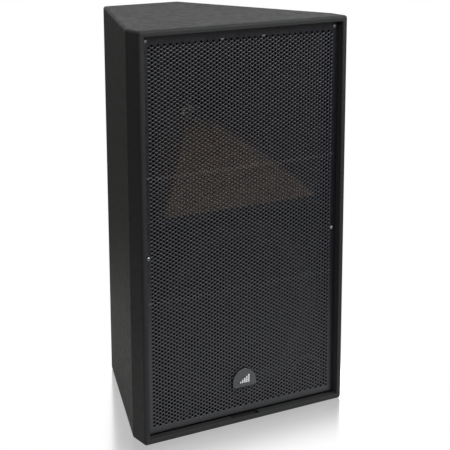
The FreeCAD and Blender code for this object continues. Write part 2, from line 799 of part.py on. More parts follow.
# ---- crossover -------------------------------------------------------------------------------
def make_crossover():
    """Filter board on standoffs on the cabinet floor, with its parts."""
    rear = board_front + board_length
    top = board_top
    inset = board_screw_inset
    corners = [(sx * (board_half_width - inset), y) for sx in (-1, 1)
               for y in (board_front + inset, rear - inset)]
    board = box((-board_half_width, board_half_width), (board_front, rear), (board_height, top))
    holes = [upright(wood_screw_radius, board_height - 1, top + 1, *place) for place in corners]
    save("crossover_board", without(board, holes))
    standoffs = []
    for place in corners:
        post = upright(4.0, panel, board_height, *place)
        screw = joined([upright(wood_screw_radius, board_height, top, *place),
                        upright(3.5, top, top + 2, *place)])
        standoffs.append(joined([post, screw]))
    save("crossover_standoffs", group(standoffs))
    coils = []
    for x, y, radius, height in ((-36.0, 74.0, 25.0, 26.0), (20.0, 70.0, 20.0, 22.0),
                                 (52.0, 122.0, 16.0, 18.0)):
        outer = upright(radius, top, top + height, x, y)
        coils.append(outer.cut(upright(radius * 0.38, top - 1, top + height + 1, x, y)))
    save("crossover_coils", group(coils))
    capacitors = []
    for x, y, radius in ((-56.0, 118.0, 10.0), (-32.0, 122.0, 9.0), (-9.0, 122.0, 9.0)):
        capacitors.append(disc(radius, y - 14, y + 22, x, top + radius))
    save("crossover_capacitors", group(capacitors))
    resistors = []
    for x in (10.0, 22.0):
        resistors.append(box((x - 5, x + 5), (100.0, 140.0), (top, top + 9)))
    save("crossover_resistors", group(resistors))


# ---- rear input dish -------------------------------------------------------------------------
def dish_flange_box(grow, y0, y1):
    x = dish_half_width + dish_flange + grow
    z = dish_half_height + dish_flange + grow
    return box((-x, x), (y0, y1), (dish_height - z, dish_height + z))


def dish_rebate():
    """A shallow pocket so that the dish flange lies under the back panel's surface."""
    return dish_flange_box(0.5, back - dish_rebate_depth, back + 1)


def dish_opening():
    x = dish_half_width + dish_wall + 0.5
    z = dish_half_height + dish_wall + 0.5
    return box((-x, x), (back - panel - 1, back + 1), (dish_height - z, dish_height + z))


def rigging_hole():
    return disc(rigging_barrel_radius, back - panel - 1, back + 1, 0, rigging_height)


def socket_places():
    return [(-socket_x, dish_height + socket_rise), (socket_x, dish_height + socket_rise)]


def dish_screw_places():
    x = dish_half_width + dish_screw_outset
    z = dish_half_height + dish_screw_outset
    return [(sx * x, dish_height + sz * z) for sx in (-1, 1) for sz in (-1, 1)]


def socket_screw_places():
    offset = socket_screw_offset
    return [(x + sx * offset, z + sz * offset) for x, z in socket_places()
            for sx, sz in ((-1, 1), (1, -1))]


def make_dish():
    """Recessed rear input dish, its screws, and the rear threaded insert."""
    seat = back - dish_rebate_depth
    face = back - dish_flange_sink
    flange = dish_flange_box(0.0, seat, face)
    wall_x = dish_half_width + dish_wall
    wall_z = dish_half_height + dish_wall
    tub = box((-wall_x, wall_x), (dish_floor - dish_wall, seat),
              (dish_height - wall_z, dish_height + wall_z))
    hollow = box((-dish_half_width, dish_half_width), (dish_floor, back + 1),
                 (dish_height - dish_half_height, dish_height + dish_half_height))
    tools = [hollow]
    tools += [disc(13.0, dish_floor - 3, dish_floor + 1, *place) for place in socket_places()]
    tools += [disc(small_screw_radius, dish_floor - 3, dish_floor + 1, *place)
              for place in socket_screw_places()]
    tools += [disc(wood_screw_radius, back - 4, back + 1, *place) for place in dish_screw_places()]
    tools.append(box((-11.0, 11.0), (dish_floor - 3, dish_floor + 1),
                     (dish_height - switch_drop - 4, dish_height - switch_drop + 4)))
    save("input_dish", without(joined([flange, tub]), tools))
    screws = []
    for x, z in dish_screw_places():
        head = disc(3.8, face, back - 0.1, x, z)
        shank = disc(wood_screw_radius, back - panel + 1, face, x, z)
        drive = disc(1.4, back - 0.6, back, x, z)
        screws.append(joined([head, shank]).cut(drive))
    save("dish_screws", group(screws))
    inside = back - panel
    barrel = disc(rigging_barrel_radius, inside, back - 0.2, 0, rigging_height)
    plate = disc(16.0, inside - 3, inside, 0, rigging_height)
    tail = disc(8.5, inside - 12, inside - 3, 0, rigging_height)
    bore = disc(rigging_bore_radius, inside - 13, back + 1, 0, rigging_height)
    save("rear_insert", joined([barrel, plate, tail]).cut(bore))


def speaker_socket(x, z):
    """A flanged socket with a ring-shaped opening round its core, and two solder tabs."""
    half = socket_half_width
    face = dish_floor + socket_flange_thickness
    tail = dish_floor - socket_body_length
    flange = box((x - half, x + half), (dish_floor, face), (z - half, z + half))
    corner_edges = [e for e in flange.Edges if e.BoundBox.YLength > 1]
    flange = flange.makeFillet(3.0, corner_edges)
    body = disc(socket_body_radius, tail, dish_floor, x, z)
    bore = ring(socket_bore_radius, socket_core_radius, tail + 4, face + 1, x, z)
    core_front = disc(socket_core_radius + 0.1, dish_floor - 3, face + 1, x, z)
    holes = [disc(small_screw_radius, dish_floor - 1, face + 1, *place)
             for place in socket_screw_places()]
    tabs = [box((x + off - 2.4, x + off + 2.4), (tail - 8, tail), (z - 0.4, z + 0.4))
            for off in (-7.0, 7.0)]
    return without(joined([flange, body] + tabs), [bore, core_front] + holes)


def make_sockets():
    """Two round twist-lock speaker sockets and their screws."""
    for name, place in zip(("input_socket", "link_socket"), socket_places()):
        save(name, speaker_socket(*place))
    face = dish_floor + socket_flange_thickness
    screws = []
    for x, z in socket_screw_places():
        head = disc(2.7, face, face + 1.8, x, z)
        shank = disc(small_screw_radius, dish_floor - 4, face, x, z)
        drive = box((x - 1.6, x + 1.6), (face + 1, face + 2.5), (z - 0.3, z + 0.3))
        screws.append(joined([head, shank]).cut(drive))
    save("socket_screws", group(screws))


def make_switch():
    """Two-position slide switch: hollow body behind the dish, and its slider."""
    z = dish_height - switch_drop
    face = dish_floor - dish_wall
    shell = box((-16, 16), (face - 12, face), (z - 8, z + 8))
    cavity = box((-13, 13), (face - 6, face + 1), (z - 5.5, z + 5.5))
    save("mode_switch_body", shell.cut(cavity))
    rest_x = -switch_travel / 2
    foot = box((rest_x - 7, rest_x + 7), (face - 4.5, face - 1.5), (z - 4.6, z + 4.6))
    knob = box((rest_x - 3.5, rest_x + 3.5), (face - 1.5, face + 8), (z - 3.2, z + 3.2))
    ribs = [box((rest_x + off - 0.5, rest_x + off + 0.5), (face + 7.2, face + 9), (z - 4, z + 4))
            for off in (-1.6, 1.6)]
    save("mode_switch_slider", without(joined([foot, knob]), ribs))


# ---- internal leads --------------------------------------------------------------------------
def make_leads():
    """The three internal leads, each along its clipped route."""
    socket_back = dish_floor - socket_body_length
    socket_z = dish_height + socket_rise
    save("input_cable", tube([(-socket_x, socket_back, socket_z),
                              (-socket_x, socket_back - 43, socket_z),
                              (-40.0, 98.0, 158.0),
                              (-60.0, 104.0, 108.0),
                              (-69.0, 96.0, 64.0),
                              (-69.0, 96.0, board_top)], input_lead_radius))
    post_x = woofer_terminal_x
    post_z = woofer_height + woofer_terminal_rise
    save("woofer_cable", tube([(40.0, 100.0, board_top),
                               (40.0, 100.0, 62.0),
                               (56.0, 84.0, 96.0),
                               (84.0, 56.0, 126.0),
                               (112.0, 22.0, 164.0),
                               (122.0, -18.0, 208.0),
                               (118.0, -34.0, 262.0),
                               (92.0, -36.0, 308.0),
                               (50.0, -22.0, 336.0),
                               (post_x, -36.0, post_z),
                               (post_x, at(woofer_terminal_back), post_z)], inner_lead_radius))
    cover_back = throat + driver_cover_back
    save("horn_cable", tube([(66.0, 60.0, board_top),
                             (66.0, 60.0, 50.0),
                             (82.0, 70.0, 84.0),
                             (104.0, 76.0, 132.0),
                             (113.0, 70.0, 186.0),
                             (117.0, 63.0, 243.0),
                             (120.0, 55.0, 302.0),
                             (117.0, 49.0, 362.0),
                             (112.0, 50.0, 420.0),
                             (104.0, 70.0, 474.0),
                             (92.0, 104.0, 520.0),
                             (66.0, 140.0, 560.0),
                             (26.0, 126.0, 596.0),
                             (26.0, cover_back, 596.0)], inner_lead_radius))


os.makedirs("parts", exist_ok=True)
make_panels()
make_baffle()
make_battens()
make_lining()
make_ports()
make_grille()
make_badge()
make_woofer_frame()
make_woofer_motor()
make_woofer_piston()
make_horn()
make_driver()
make_crossover()
make_dish()
make_sockets()
make_switch()
make_leads()
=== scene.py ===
"""Looks of a two-way PA speaker cabinet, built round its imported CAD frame. Metres, +Z up, the
grille faces -Y. CAD nodes keep their shape and get a finish; the grille, badge, surround, spider
and wadding are pieces of their own that stand for their CAD nodes."""

import json
import math

import bmesh
import bpy
import numpy as np
from mathutils import Matrix, Vector, geometry, noise


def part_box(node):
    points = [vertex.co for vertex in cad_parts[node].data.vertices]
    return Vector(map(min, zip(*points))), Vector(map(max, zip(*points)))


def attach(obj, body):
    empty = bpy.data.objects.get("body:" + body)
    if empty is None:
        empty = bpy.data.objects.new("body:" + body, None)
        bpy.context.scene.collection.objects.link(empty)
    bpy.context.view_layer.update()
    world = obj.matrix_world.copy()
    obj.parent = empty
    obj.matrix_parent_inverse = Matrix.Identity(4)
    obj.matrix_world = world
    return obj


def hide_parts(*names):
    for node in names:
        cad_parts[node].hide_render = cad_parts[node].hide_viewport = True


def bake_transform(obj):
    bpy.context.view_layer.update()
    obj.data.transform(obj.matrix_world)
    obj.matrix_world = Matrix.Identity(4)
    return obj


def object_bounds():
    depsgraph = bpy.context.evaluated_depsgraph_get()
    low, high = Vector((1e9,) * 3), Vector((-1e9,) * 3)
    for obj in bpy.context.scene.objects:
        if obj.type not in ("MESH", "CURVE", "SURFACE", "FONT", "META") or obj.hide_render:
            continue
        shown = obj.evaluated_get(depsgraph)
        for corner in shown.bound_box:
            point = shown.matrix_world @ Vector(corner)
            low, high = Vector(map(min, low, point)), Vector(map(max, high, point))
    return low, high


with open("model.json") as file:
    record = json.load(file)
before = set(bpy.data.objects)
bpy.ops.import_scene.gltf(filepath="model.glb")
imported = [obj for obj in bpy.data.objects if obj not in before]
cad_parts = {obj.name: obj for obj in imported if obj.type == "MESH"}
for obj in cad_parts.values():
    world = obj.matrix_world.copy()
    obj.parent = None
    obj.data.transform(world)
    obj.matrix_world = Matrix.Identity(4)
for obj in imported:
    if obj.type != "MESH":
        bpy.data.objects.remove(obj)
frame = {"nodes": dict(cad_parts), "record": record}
cad_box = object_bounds()

MM = 0.001
CABINET = "cabinet"
BOX_MIDDLE = Vector((0.0, 0.02, 0.418))
DISH_REBATE = 8 * MM
LOOKS_IN = -0.02

finishes = {}


# ---- node tree helpers ----
class Graph:
    """A node tree under construction."""

    def __init__(self, tree):
        self.tree = tree

    def node(self, kind, inputs=None, **settings):
        """A new node with some inputs and settings of its own."""
        made = self.tree.nodes.new(kind)
        for key, value in settings.items():
            setattr(made, key, value)
        for key, value in (inputs or {}).items():
            made.inputs[key].default_value = value
        return made

    def link(self, source, target):
        self.tree.links.new(source, target)

    def feed(self, value, target):
        """Give an input a number, a colour or the value of another socket."""
        if isinstance(value, tuple):
            target.default_value = (*value, 1.0)
        elif isinstance(value, (int, float)):
            target.default_value = value
        else:
            self.link(value, target)

    def ramp(self, value, low, high, to_low=0.0, to_high=1.0, smooth=False):
        made = self.node("ShaderNodeMapRange", {"From Min": low, "From Max": high, "To Min": to_low,
                                                "To Max": to_high}, clamp=True,
                         interpolation_type="SMOOTHSTEP" if smooth else "LINEAR")
        self.link(value, made.inputs["Value"])
        return made.outputs["Result"]

    def maths(self, operation, first, second):
        made = self.node("ShaderNodeMath", operation=operation)
        self.feed(first, made.inputs[0])
        self.feed(second, made.inputs[1])
        return made.outputs["Value"]

    def toward(self, vector, axis):
        """How far a vector socket reaches along a fixed axis."""
        made = self.node("ShaderNodeVectorMath", {1: axis}, operation="DOT_PRODUCT")
        self.link(vector, made.inputs[0])
        return made.outputs["Value"]

    def part(self, vector, axis):
        """One of a vector socket's parts: X, Y or Z."""
        made = self.node("ShaderNodeSeparateXYZ")
        self.link(vector, made.inputs["Vector"])
        return made.outputs[axis]

    def source(self, kind, strength, colour=(1.0, 1.0, 1.0)):
        """A shader that gives light: an emission or a world background."""
        made = self.node(kind)
        self.feed(colour, made.inputs["Color"])
        self.feed(strength, made.inputs["Strength"])
        return made.outputs[0]

    def shaders(self, factor, first, second):
        """A mixture of two shaders."""
        made = self.node("ShaderNodeMixShader")
        self.link(factor, made.inputs["Fac"])
        self.link(first, made.inputs[1])
        self.link(second, made.inputs[2])
        return made.outputs["Shader"]


class Finish(Graph):
    """A material under construction, listed in finishes under its slot's name."""

    def __init__(self, name, colour, roughness, metallic=0.0, specular=0.5):
        self.material = bpy.data.materials.new(name)
        self.material.use_nodes = True
        finishes[name] = self.material
        super().__init__(self.material.node_tree)
        self.shader = self.tree.nodes["Principled BSDF"]
        self.feed(colour, self.shader.inputs["Base Color"])
        self.feed(roughness, self.shader.inputs["Roughness"])
        self.feed(metallic, self.shader.inputs["Metallic"])
        self.feed(specular, self.shader.inputs["Specular IOR Level"])
        self.colour = colour
        self.roughness = roughness
        coordinates = self.node("ShaderNodeTexCoord")
        self.place = coordinates.outputs["Object"]
        self.facing = coordinates.outputs["Normal"]
        self.last_normal = None

    def stretched(self, scale):
        """The object's coordinates, scaled by three factors."""
        mapping = self.node("ShaderNodeMapping", {"Scale": scale})
        self.link(self.place, mapping.inputs["Vector"])
        return mapping.outputs["Vector"]

    def noise(self, scale, detail=3.0, roughness=0.55, vector=None):
        made = self.node("ShaderNodeTexNoise",
                         {"Scale": scale, "Detail": detail, "Roughness": roughness})
        self.link(vector or self.place, made.inputs["Vector"])
        return made.outputs["Fac"]

    def cells(self, scale, feature="F1"):
        made = self.node("ShaderNodeTexVoronoi", {"Scale": scale}, feature=feature)
        self.link(self.place, made.inputs["Vector"])
        return made.outputs["Distance"]

    def wave(self, scale, direction, vector=None, distortion=0.0, form="BANDS"):
        made = self.node("ShaderNodeTexWave", {"Scale": scale, "Distortion": distortion},
                         wave_type=form, bands_direction=direction, rings_direction=direction)
        self.link(vector or self.place, made.inputs["Vector"])
        return made.outputs["Fac"]

    def about(self, centre):
        """The object's coordinates measured from a point."""
        moved = self.node("ShaderNodeVectorMath", {1: centre}, operation="SUBTRACT")
        self.link(self.place, moved.inputs[0])
        return moved.outputs["Vector"]

    def mixed(self, factor, first, second):
        """A colour between two colours, each a tuple or a socket."""
        made = self.node("ShaderNodeMix", data_type="RGBA")
        self.link(factor, made.inputs["Factor"])
        self.feed(first, made.inputs[6])
        self.feed(second, made.inputs[7])
        return made.outputs[2]

    def paint(self, colour):
        self.link(colour, self.shader.inputs["Base Color"])

    def gloss(self, value):
        self.link(value, self.shader.inputs["Roughness"])

    def bump(self, height, strength, depth):
        made = self.node("ShaderNodeBump", {"Strength": strength, "Distance": depth})
        self.link(height, made.inputs["Height"])
        if self.last_normal is not None:
            self.link(self.last_normal, made.inputs["Normal"])
        self.last_normal = made.outputs["Normal"]
        self.link(self.last_normal, self.shader.inputs["Normal"])

    def mottled(self, scale, spread):
        """Colour that drifts a little lighter and darker about the finish's own."""
        dark = tuple(c * (1 - spread) for c in self.colour)
        light = tuple(min(1.0, c * (1 + spread)) for c in self.colour)
        self.paint(self.mixed(self.ramp(self.noise(scale), 0.3, 0.7), dark, light))

    def glossed(self, scale, spread):
        """Gloss that drifts about the finish's own."""
        low = max(0.03, self.roughness - spread)
        high = min(1.0, self.roughness + spread)
        self.gloss(self.ramp(self.noise(scale), 0.3, 0.7, low, high))


# ---- finishes: wood and paint ----
def plywood_colour(finish):
    """Birch plywood: long grain on the faces and dark glue lines between its plies."""
    grain = finish.noise(42.0, 6.0, 0.6, finish.stretched((9.0, 1.0, 1.0)))
    pores = finish.noise(900.0, 2.0, 0.5, finish.stretched((3.0, 1.0, 0.15)))
    face = finish.mixed(finish.ramp(grain, 0.35, 0.65), (0.46, 0.32, 0.18), (0.60, 0.45, 0.28))
    return finish.mixed(finish.ramp(pores, 0.58, 0.72), face, (0.34, 0.22, 0.12))


def facing_inward(finish):
    """1 on faces that look into the closed box, 0 on the painted outside and in its recesses."""
    toward = finish.node("ShaderNodeVectorMath", operation="DOT_PRODUCT")
    finish.link(finish.facing, toward.inputs[0])
    finish.link(finish.about(BOX_MIDDLE), toward.inputs[1])
    looks_in = finish.maths("LESS_THAN", toward.outputs["Value"], LOOKS_IN)
    depth = finish.part(finish.place, "Y")
    behind = finish.maths("GREATER_THAN", depth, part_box("baffle")[0].y)
    before = finish.maths("LESS_THAN", depth, cad_box[1].y - DISH_REBATE)
    return finish.maths("MULTIPLY", looks_in, finish.maths("MULTIPLY", behind, before))


def painted_ply():
    """Sprayed black texture coat over plywood; bare plywood on the faces inside the box."""
    finish = Finish("painted_ply", (0.027, 0.027, 0.026), 0.62, specular=0.12)
    tone = finish.ramp(finish.noise(5.0, 4.0), 0.3, 0.7)
    coat = finish.mixed(tone, (0.0215, 0.0215, 0.0208), (0.029, 0.029, 0.0282))
    grit = finish.ramp(finish.noise(1500.0, 2.0), 0.35, 0.7)
    coat = finish.mixed(grit, coat, (0.037, 0.037, 0.036))
    scuffs = finish.ramp(finish.noise(34.0, 8.0, 0.72), 0.735, 0.80, 0.0, 0.5)
    coat = finish.mixed(scuffs, coat, (0.06, 0.058, 0.055))
    finish.paint(finish.mixed(facing_inward(finish), coat, plywood_colour(finish)))
    finish.glossed(70.0, 0.07)
    beads = finish.ramp(finish.cells(420.0, "SMOOTH_F1"), 0.0, 0.75, 1.0, 0.0)
    fine = finish.noise(1100.0, 3.0, 0.6)
    finish.bump(finish.maths("ADD", beads, finish.maths("MULTIPLY", fine, 0.7)), 0.42, 0.0006)


def painted_baffle():
    """Thin matt black paint, rolled on, with the plywood's grain just telling through."""
    finish = Finish("painted_baffle", (0.004, 0.004, 0.004), 0.85, specular=0.12)
    finish.mottled(12.0, 0.25)
    grain = finish.noise(60.0, 5.0, 0.6, finish.stretched((1.0, 1.0, 9.0)))
    finish.bump(grain, 0.25, 0.0004)
    finish.bump(finish.noise(900.0, 2.0), 0.2, 0.0003)
    finish.glossed(40.0, 0.08)


def raw_ply():
    """Sanded birch plywood strips and bracing."""
    finish = Finish("raw_ply", (0.55, 0.40, 0.24), 0.62)
    face = plywood_colour(finish)
    plies = finish.ramp(finish.wave(240.0, "Z"), 0.30, 0.36)
    finish.paint(finish.mixed(plies, (0.30, 0.19, 0.10), face))
    finish.bump(finish.noise(500.0, 4.0, 0.6, finish.stretched((3.0, 1.0, 0.3))), 0.25, 0.0003)
    finish.glossed(60.0, 0.08)


# ---- finishes: soft things ----
def wadding():
    """Grey-white polyester wadding: loose crossed fibres and small tufts."""
    finish = Finish("wadding", (0.50, 0.50, 0.48), 0.95, specular=0.2)
    across = finish.noise(260.0, 5.0, 0.7, finish.stretched((7.0, 1.0, 1.0)))
    along = finish.noise(260.0, 5.0, 0.7, finish.stretched((1.0, 1.0, 7.0)))
    fibres = finish.maths("MAXIMUM", across, along)
    tufts = finish.noise(45.0, 4.0, 0.6)
    finish.paint(finish.mixed(finish.ramp(fibres, 0.45, 0.68), (0.40, 0.40, 0.385),
                              (0.64, 0.64, 0.62)))
    finish.bump(tufts, 0.5, 0.003)
    finish.bump(fibres, 0.6, 0.0009)
    finish.shader.inputs["Sheen Weight"].default_value = 0.25
    finish.shader.inputs["Sheen Roughness"].default_value = 0.6


def weave(name, colour, roughness, threads_per_metre):
    """Resin-doped woven cloth seen front on: two thread directions across the woofer's face."""
    finish = Finish(name, colour, roughness, specular=0.35)
    local = finish.about(woofer_centre())
    warp = finish.wave(threads_per_metre, "X", local)
    weft = finish.wave(threads_per_metre, "Z", local)
    threads = finish.maths("MAXIMUM", warp, weft)
    dark = tuple(c * 0.6 for c in colour)
    light = tuple(c * 1.25 for c in colour)
    finish.paint(finish.mixed(threads, dark, light))
    finish.bump(threads, 0.6, 0.0004)
    finish.bump(finish.noise(90.0, 4.0), 0.2, 0.0006)
    finish.glossed(120.0, 0.1)


def cone_paper():
    """Pulp paper with short fibres, faint pressed ribs and a tinted coating."""
    finish = Finish("cone_paper", (0.008, 0.0078, 0.0075), 0.85, specular=0.15)
    fibres = finish.noise(700.0, 6.0, 0.75)
    clumps = finish.noise(120.0, 3.0, 0.6)
    finish.paint(finish.mixed(finish.ramp(fibres, 0.4, 0.66), (0.005, 0.005, 0.005),
                              (0.015, 0.014, 0.013)))
    ribs = finish.wave(52.0, "Y", finish.about(woofer_centre()), form="RINGS")
    finish.bump(ribs, 0.18, 0.0012)
    finish.bump(clumps, 0.3, 0.0008)
    finish.bump(fibres, 0.5, 0.0003)
    finish.glossed(140.0, 0.08)


# ---- finishes: metals ----
def powder_coat():
    """Satin black powder coat on the perforated steel."""
    finish = Finish("grille_steel", (0.005, 0.005, 0.0085), 0.36, specular=0.68)
    finish.mottled(9.0, 0.12)
    peel = finish.noise(620.0, 3.0, 0.6)
    finish.bump(peel, 0.18, 0.0003)
    finish.gloss(finish.ramp(finish.noise(55.0), 0.3, 0.7, 0.32, 0.40))


def plated(name, colour, roughness, brushed=(1.0, 1.0, 1.0)):
    """Zinc or nickel plating with drawn marks, spangle and dull patches."""
    finish = Finish(name, colour, roughness, metallic=1.0)
    marks = finish.noise(900.0, 4.0, 0.6, finish.stretched(brushed))
    spangle = finish.ramp(finish.cells(240.0), 0.1, 0.8)
    dark = tuple(c * 0.72 for c in colour)
    finish.paint(finish.mixed(finish.maths("MULTIPLY", spangle, finish.ramp(marks, 0.3, 0.7)),
                              dark, colour))
    finish.bump(marks, 0.15, 0.0001)
    finish.glossed(180.0, 0.1)


def black_steel():
    """Blackened screw steel, a little oily, worn grey on its high points."""
    finish = Finish("black_screw", (0.012, 0.012, 0.012), 0.75, specular=0.1)
    wear = finish.ramp(finish.noise(420.0, 6.0, 0.7), 0.58, 0.70)
    finish.paint(finish.mixed(wear, (0.010, 0.010, 0.010), (0.035, 0.035, 0.035)))
    finish.bump(finish.noise(1400.0, 2.0), 0.15, 0.0001)
    finish.glossed(200.0, 0.1)


def ferrite():
    """Sintered ferrite: dull charcoal with ground faces and small chips."""
    finish = Finish("ferrite", (0.040, 0.040, 0.042), 0.6)
    chips = finish.ramp(finish.cells(150.0), 0.02, 0.10)
    finish.paint(finish.mixed(chips, (0.075, 0.074, 0.072), (0.038, 0.038, 0.040)))
    grinding = finish.noise(1600.0, 2.0, 0.5, finish.stretched((1.0, 1.0, 0.12)))
    finish.bump(grinding, 0.25, 0.0002)
    finish.bump(chips, 0.3, 0.0004)
    finish.glossed(60.0, 0.08)


def winding(name, colour, dark, metallic, turns, bump, gloss_scale):
    """Enamelled copper wire laid turn by turn: turns a metre, their direction, their wander."""
    finish = Finish(name, colour, 0.3, metallic)
    scale, direction, wander = turns
    wires = finish.wave(scale, direction, distortion=wander)
    finish.paint(finish.mixed(finish.ramp(wires, 0.1, 0.5), dark, colour))
    finish.bump(wires, *bump)
    finish.glossed(gloss_scale, 0.08)


def plain(name, colour, roughness, metallic, mottle, grain, bump, gloss):
    """A simple finish: mottled colour, one fine grain and uneven gloss."""
    finish = Finish(name, colour, roughness, metallic)
    finish.mottled(*mottle)
    finish.bump(finish.noise(*grain), *bump)
    finish.glossed(*gloss)


# ---- finishes: plastics, rubbers and small parts ----
def moulded(name, colour, roughness, grain_scale=900.0, grain=0.25):
    """Injection-moulded plastic: fine spark grain and slight drift in tone and gloss."""
    finish = Finish(name, colour, roughness, specular=0.4)
    finish.mottled(18.0, 0.12)
    finish.bump(finish.cells(grain_scale), grain, 0.0002)
    finish.glossed(45.0, 0.07)


def horn_moulding():
    """Dark brown wood-filled moulding, black on its flange. Light from above is painted in: only
    walls that face up keep the brown, and the other walls are painted near black as shade.
    """
    finish = Finish("horn_moulding", (0.08, 0.036, 0.016), 0.5, specular=0.3)
    flow = finish.noise(16.0, 5.0, 0.65, finish.stretched((1.0, 3.0, 1.0)))
    flecks = finish.ramp(finish.noise(650.0, 3.0, 0.6), 0.60, 0.74)
    base = finish.mixed(finish.ramp(flow, 0.3, 0.7), (0.090, 0.044, 0.013), (0.155, 0.082, 0.026))
    brown = finish.mixed(flecks, base, (0.20, 0.12, 0.05))
    # painted light from above: brown where the wall faces up, painted shade of near black where it
    # does not
    painted_light_from_above = finish.ramp(finish.part(finish.facing, "Z"), 0.1, 0.6)
    brown = finish.mixed(painted_light_from_above, (0.020, 0.011, 0.006), brown)
    flat = finish.ramp(finish.maths("ABSOLUTE", finish.part(finish.facing, "Y"), 0.0), 0.90, 0.97)
    finish.paint(finish.mixed(flat, brown, (0.008, 0.008, 0.008)))
    finish.bump(finish.noise(480.0, 3.0), 0.2, 0.0003)
    finish.glossed(35.0, 0.08)


def rubber(name, colour, roughness=0.6):
    """Soft cable sheath with extrusion lines and a dusty bloom."""
    finish = Finish(name, colour, roughness, specular=0.4)
    bloom = finish.ramp(finish.noise(60.0, 5.0, 0.65), 0.5, 0.75, 0.0, 0.3)
    pale = tuple(min(1.0, c * 1.8 + 0.03) for c in colour)
    finish.paint(finish.mixed(bloom, colour, pale))
    finish.bump(finish.noise(800.0, 3.0), 0.2, 0.0002)
    finish.glossed(90.0, 0.08)


def cork():
    """Cork and rubber gasket: light and dark granules."""
    finish = Finish("gasket_cork", (0.030, 0.024, 0.018), 0.85, specular=0.25)
    granules = finish.cells(520.0)
    finish.paint(finish.mixed(finish.ramp(granules, 0.15, 0.6), (0.028, 0.020, 0.014),
                              (0.008, 0.007, 0.006)))
    finish.bump(granules, 0.5, 0.0005)


def circuit_board():
    """Green solder mask over copper tracks and a faint glass weave."""
    finish = Finish("circuit_board", (0.02, 0.11, 0.05), 0.32)
    blocks = finish.node("ShaderNodeTexBrick", {"Scale": 60.0, "Mortar Size": 0.025,
                                                "Color1": (0, 0, 0, 1), "Color2": (0, 0, 0, 1),
                                                "Mortar": (1, 1, 1, 1)})
    finish.link(finish.place, blocks.inputs["Vector"])
    tracks = blocks.outputs["Color"]
    finish.paint(finish.mixed(tracks, (0.018, 0.10, 0.045), (0.05, 0.20, 0.09)))
    finish.bump(tracks, 0.4, 0.0002)
    glass = finish.maths("MAXIMUM", finish.wave(700.0, "X"), finish.wave(700.0, "Y"))
    finish.bump(glass, 0.08, 0.0001)
    finish.glossed(60.0, 0.06)


def capacitor_film():
    """Wrapped film capacitors: yellow tape with overlaps, resin ends."""
    finish = Finish("capacitor_film", (0.62, 0.46, 0.08), 0.35)
    finish.mottled(60.0, 0.12)
    laps = finish.ramp(finish.wave(30.0, "X"), 0.46, 0.54)
    finish.bump(laps, 0.3, 0.0002)
    finish.bump(finish.noise(600.0, 2.0), 0.1, 0.0001)
    finish.glossed(80.0, 0.06)


def ceramic():
    """Chalky cement resistor bodies."""
    finish = Finish("resistor_ceramic", (0.66, 0.64, 0.58), 0.8)
    finish.mottled(140.0, 0.1)
    pits = finish.ramp(finish.cells(800.0), 0.05, 0.3)
    finish.bump(pits, 0.4, 0.0002)
    finish.glossed(120.0, 0.06)


def badge_plastic():
    """Satin graphite moulding with fine diagonal brushing."""
    finish = Finish("badge_plastic", (0.020, 0.021, 0.023), 0.26, specular=0.7)
    brushing = finish.noise(1500.0, 3.0, 0.5, finish.stretched((0.12, 1.0, 1.0)))
    finish.mottled(60.0, 0.1)
    finish.bump(brushing, 0.10, 0.0001)
    finish.glossed(120.0, 0.05)
    finish.shader.inputs["Coat Weight"].default_value = 0.25
    finish.shader.inputs["Coat Roughness"].default_value = 0.2


# ---- places read from the frame ----
def woofer_centre():
    """Centre of the woofer's face."""
    low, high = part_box("woofer_basket")
    return Vector(((low.x + high.x) / 2, low.y, (low.z + high.z) / 2))


def make_finishes():
    """Make the finish of every material slot in the record, and the badge mark's."""
    painted_ply()
    painted_baffle()
    raw_ply()
    wadding()
    moulded("port_plastic", (0.008, 0.008, 0.0085), 0.6)
    powder_coat()
    plated("zinc_screw", (0.30, 0.31, 0.31), 0.42, (1.0, 1.0, 4.0))
    black_steel()
    badge_plastic()
    plain("cast_basket", (0.026, 0.026, 0.028), 0.55, 0.15, (30.0, 0.2),
          (520.0, 4.0, 0.6), (0.35, 0.0004), (80.0, 0.08))
    cork()
    plain("terminal_parts", (0.55, 0.42, 0.18), 0.35, 0.8, (200.0, 0.25),
          (900.0, 3.0), (0.2, 0.0001), (150.0, 0.1))
    plated("plated_steel", (0.62, 0.60, 0.52), 0.32, (1.0, 4.0, 1.0))
    ferrite()
    cone_paper()
    weave("surround_cloth", (0.008, 0.008, 0.0085), 0.7, 420.0)
    weave("spider_cloth", (0.42, 0.27, 0.10), 0.8, 360.0)
    winding("copper_coil", (0.62, 0.26, 0.12), (0.217, 0.091, 0.042), 0.9,
            (900.0, "Y", 0.0), (0.7, 0.0003), 200.0)
    horn_moulding()
    plain("titanium", (0.50, 0.47, 0.42), 0.28, 1.0, (90.0, 0.12),
          (500.0, 3.0), (0.12, 0.0002), (160.0, 0.07))
    moulded("driver_moulding", (0.024, 0.024, 0.025), 0.45, 700.0)
    circuit_board()
    winding("coil_winding", (0.62, 0.25, 0.11), (0.10, 0.03, 0.015), 0.85,
            (330.0, "Z", 0.4), (0.8, 0.0006), 150.0)
    capacitor_film()
    ceramic()
    moulded("dish_plastic", (0.020, 0.020, 0.021), 0.48, 800.0, 0.35)
    moulded("socket_plastic", (0.028, 0.029, 0.031), 0.36, 1300.0, 0.15)
    moulded("switch_plastic", (0.030, 0.030, 0.031), 0.4, 1200.0, 0.15)
    moulded("slider_plastic", (0.45, 0.035, 0.025), 0.42, 1200.0, 0.12)
    plated("insert_steel", (0.50, 0.50, 0.48), 0.36, (1.0, 5.0, 1.0))
    rubber("cable_grey", (0.13, 0.13, 0.135))
    rubber("cable_black", (0.020, 0.020, 0.020))
    rubber("cable_brown", (0.20, 0.07, 0.035))
    plain("silver_mark", (0.80, 0.80, 0.80), 0.35, 0.5, (300.0, 0.08),
          (1800.0, 2.0), (0.1, 0.00005), (200.0, 0.05))


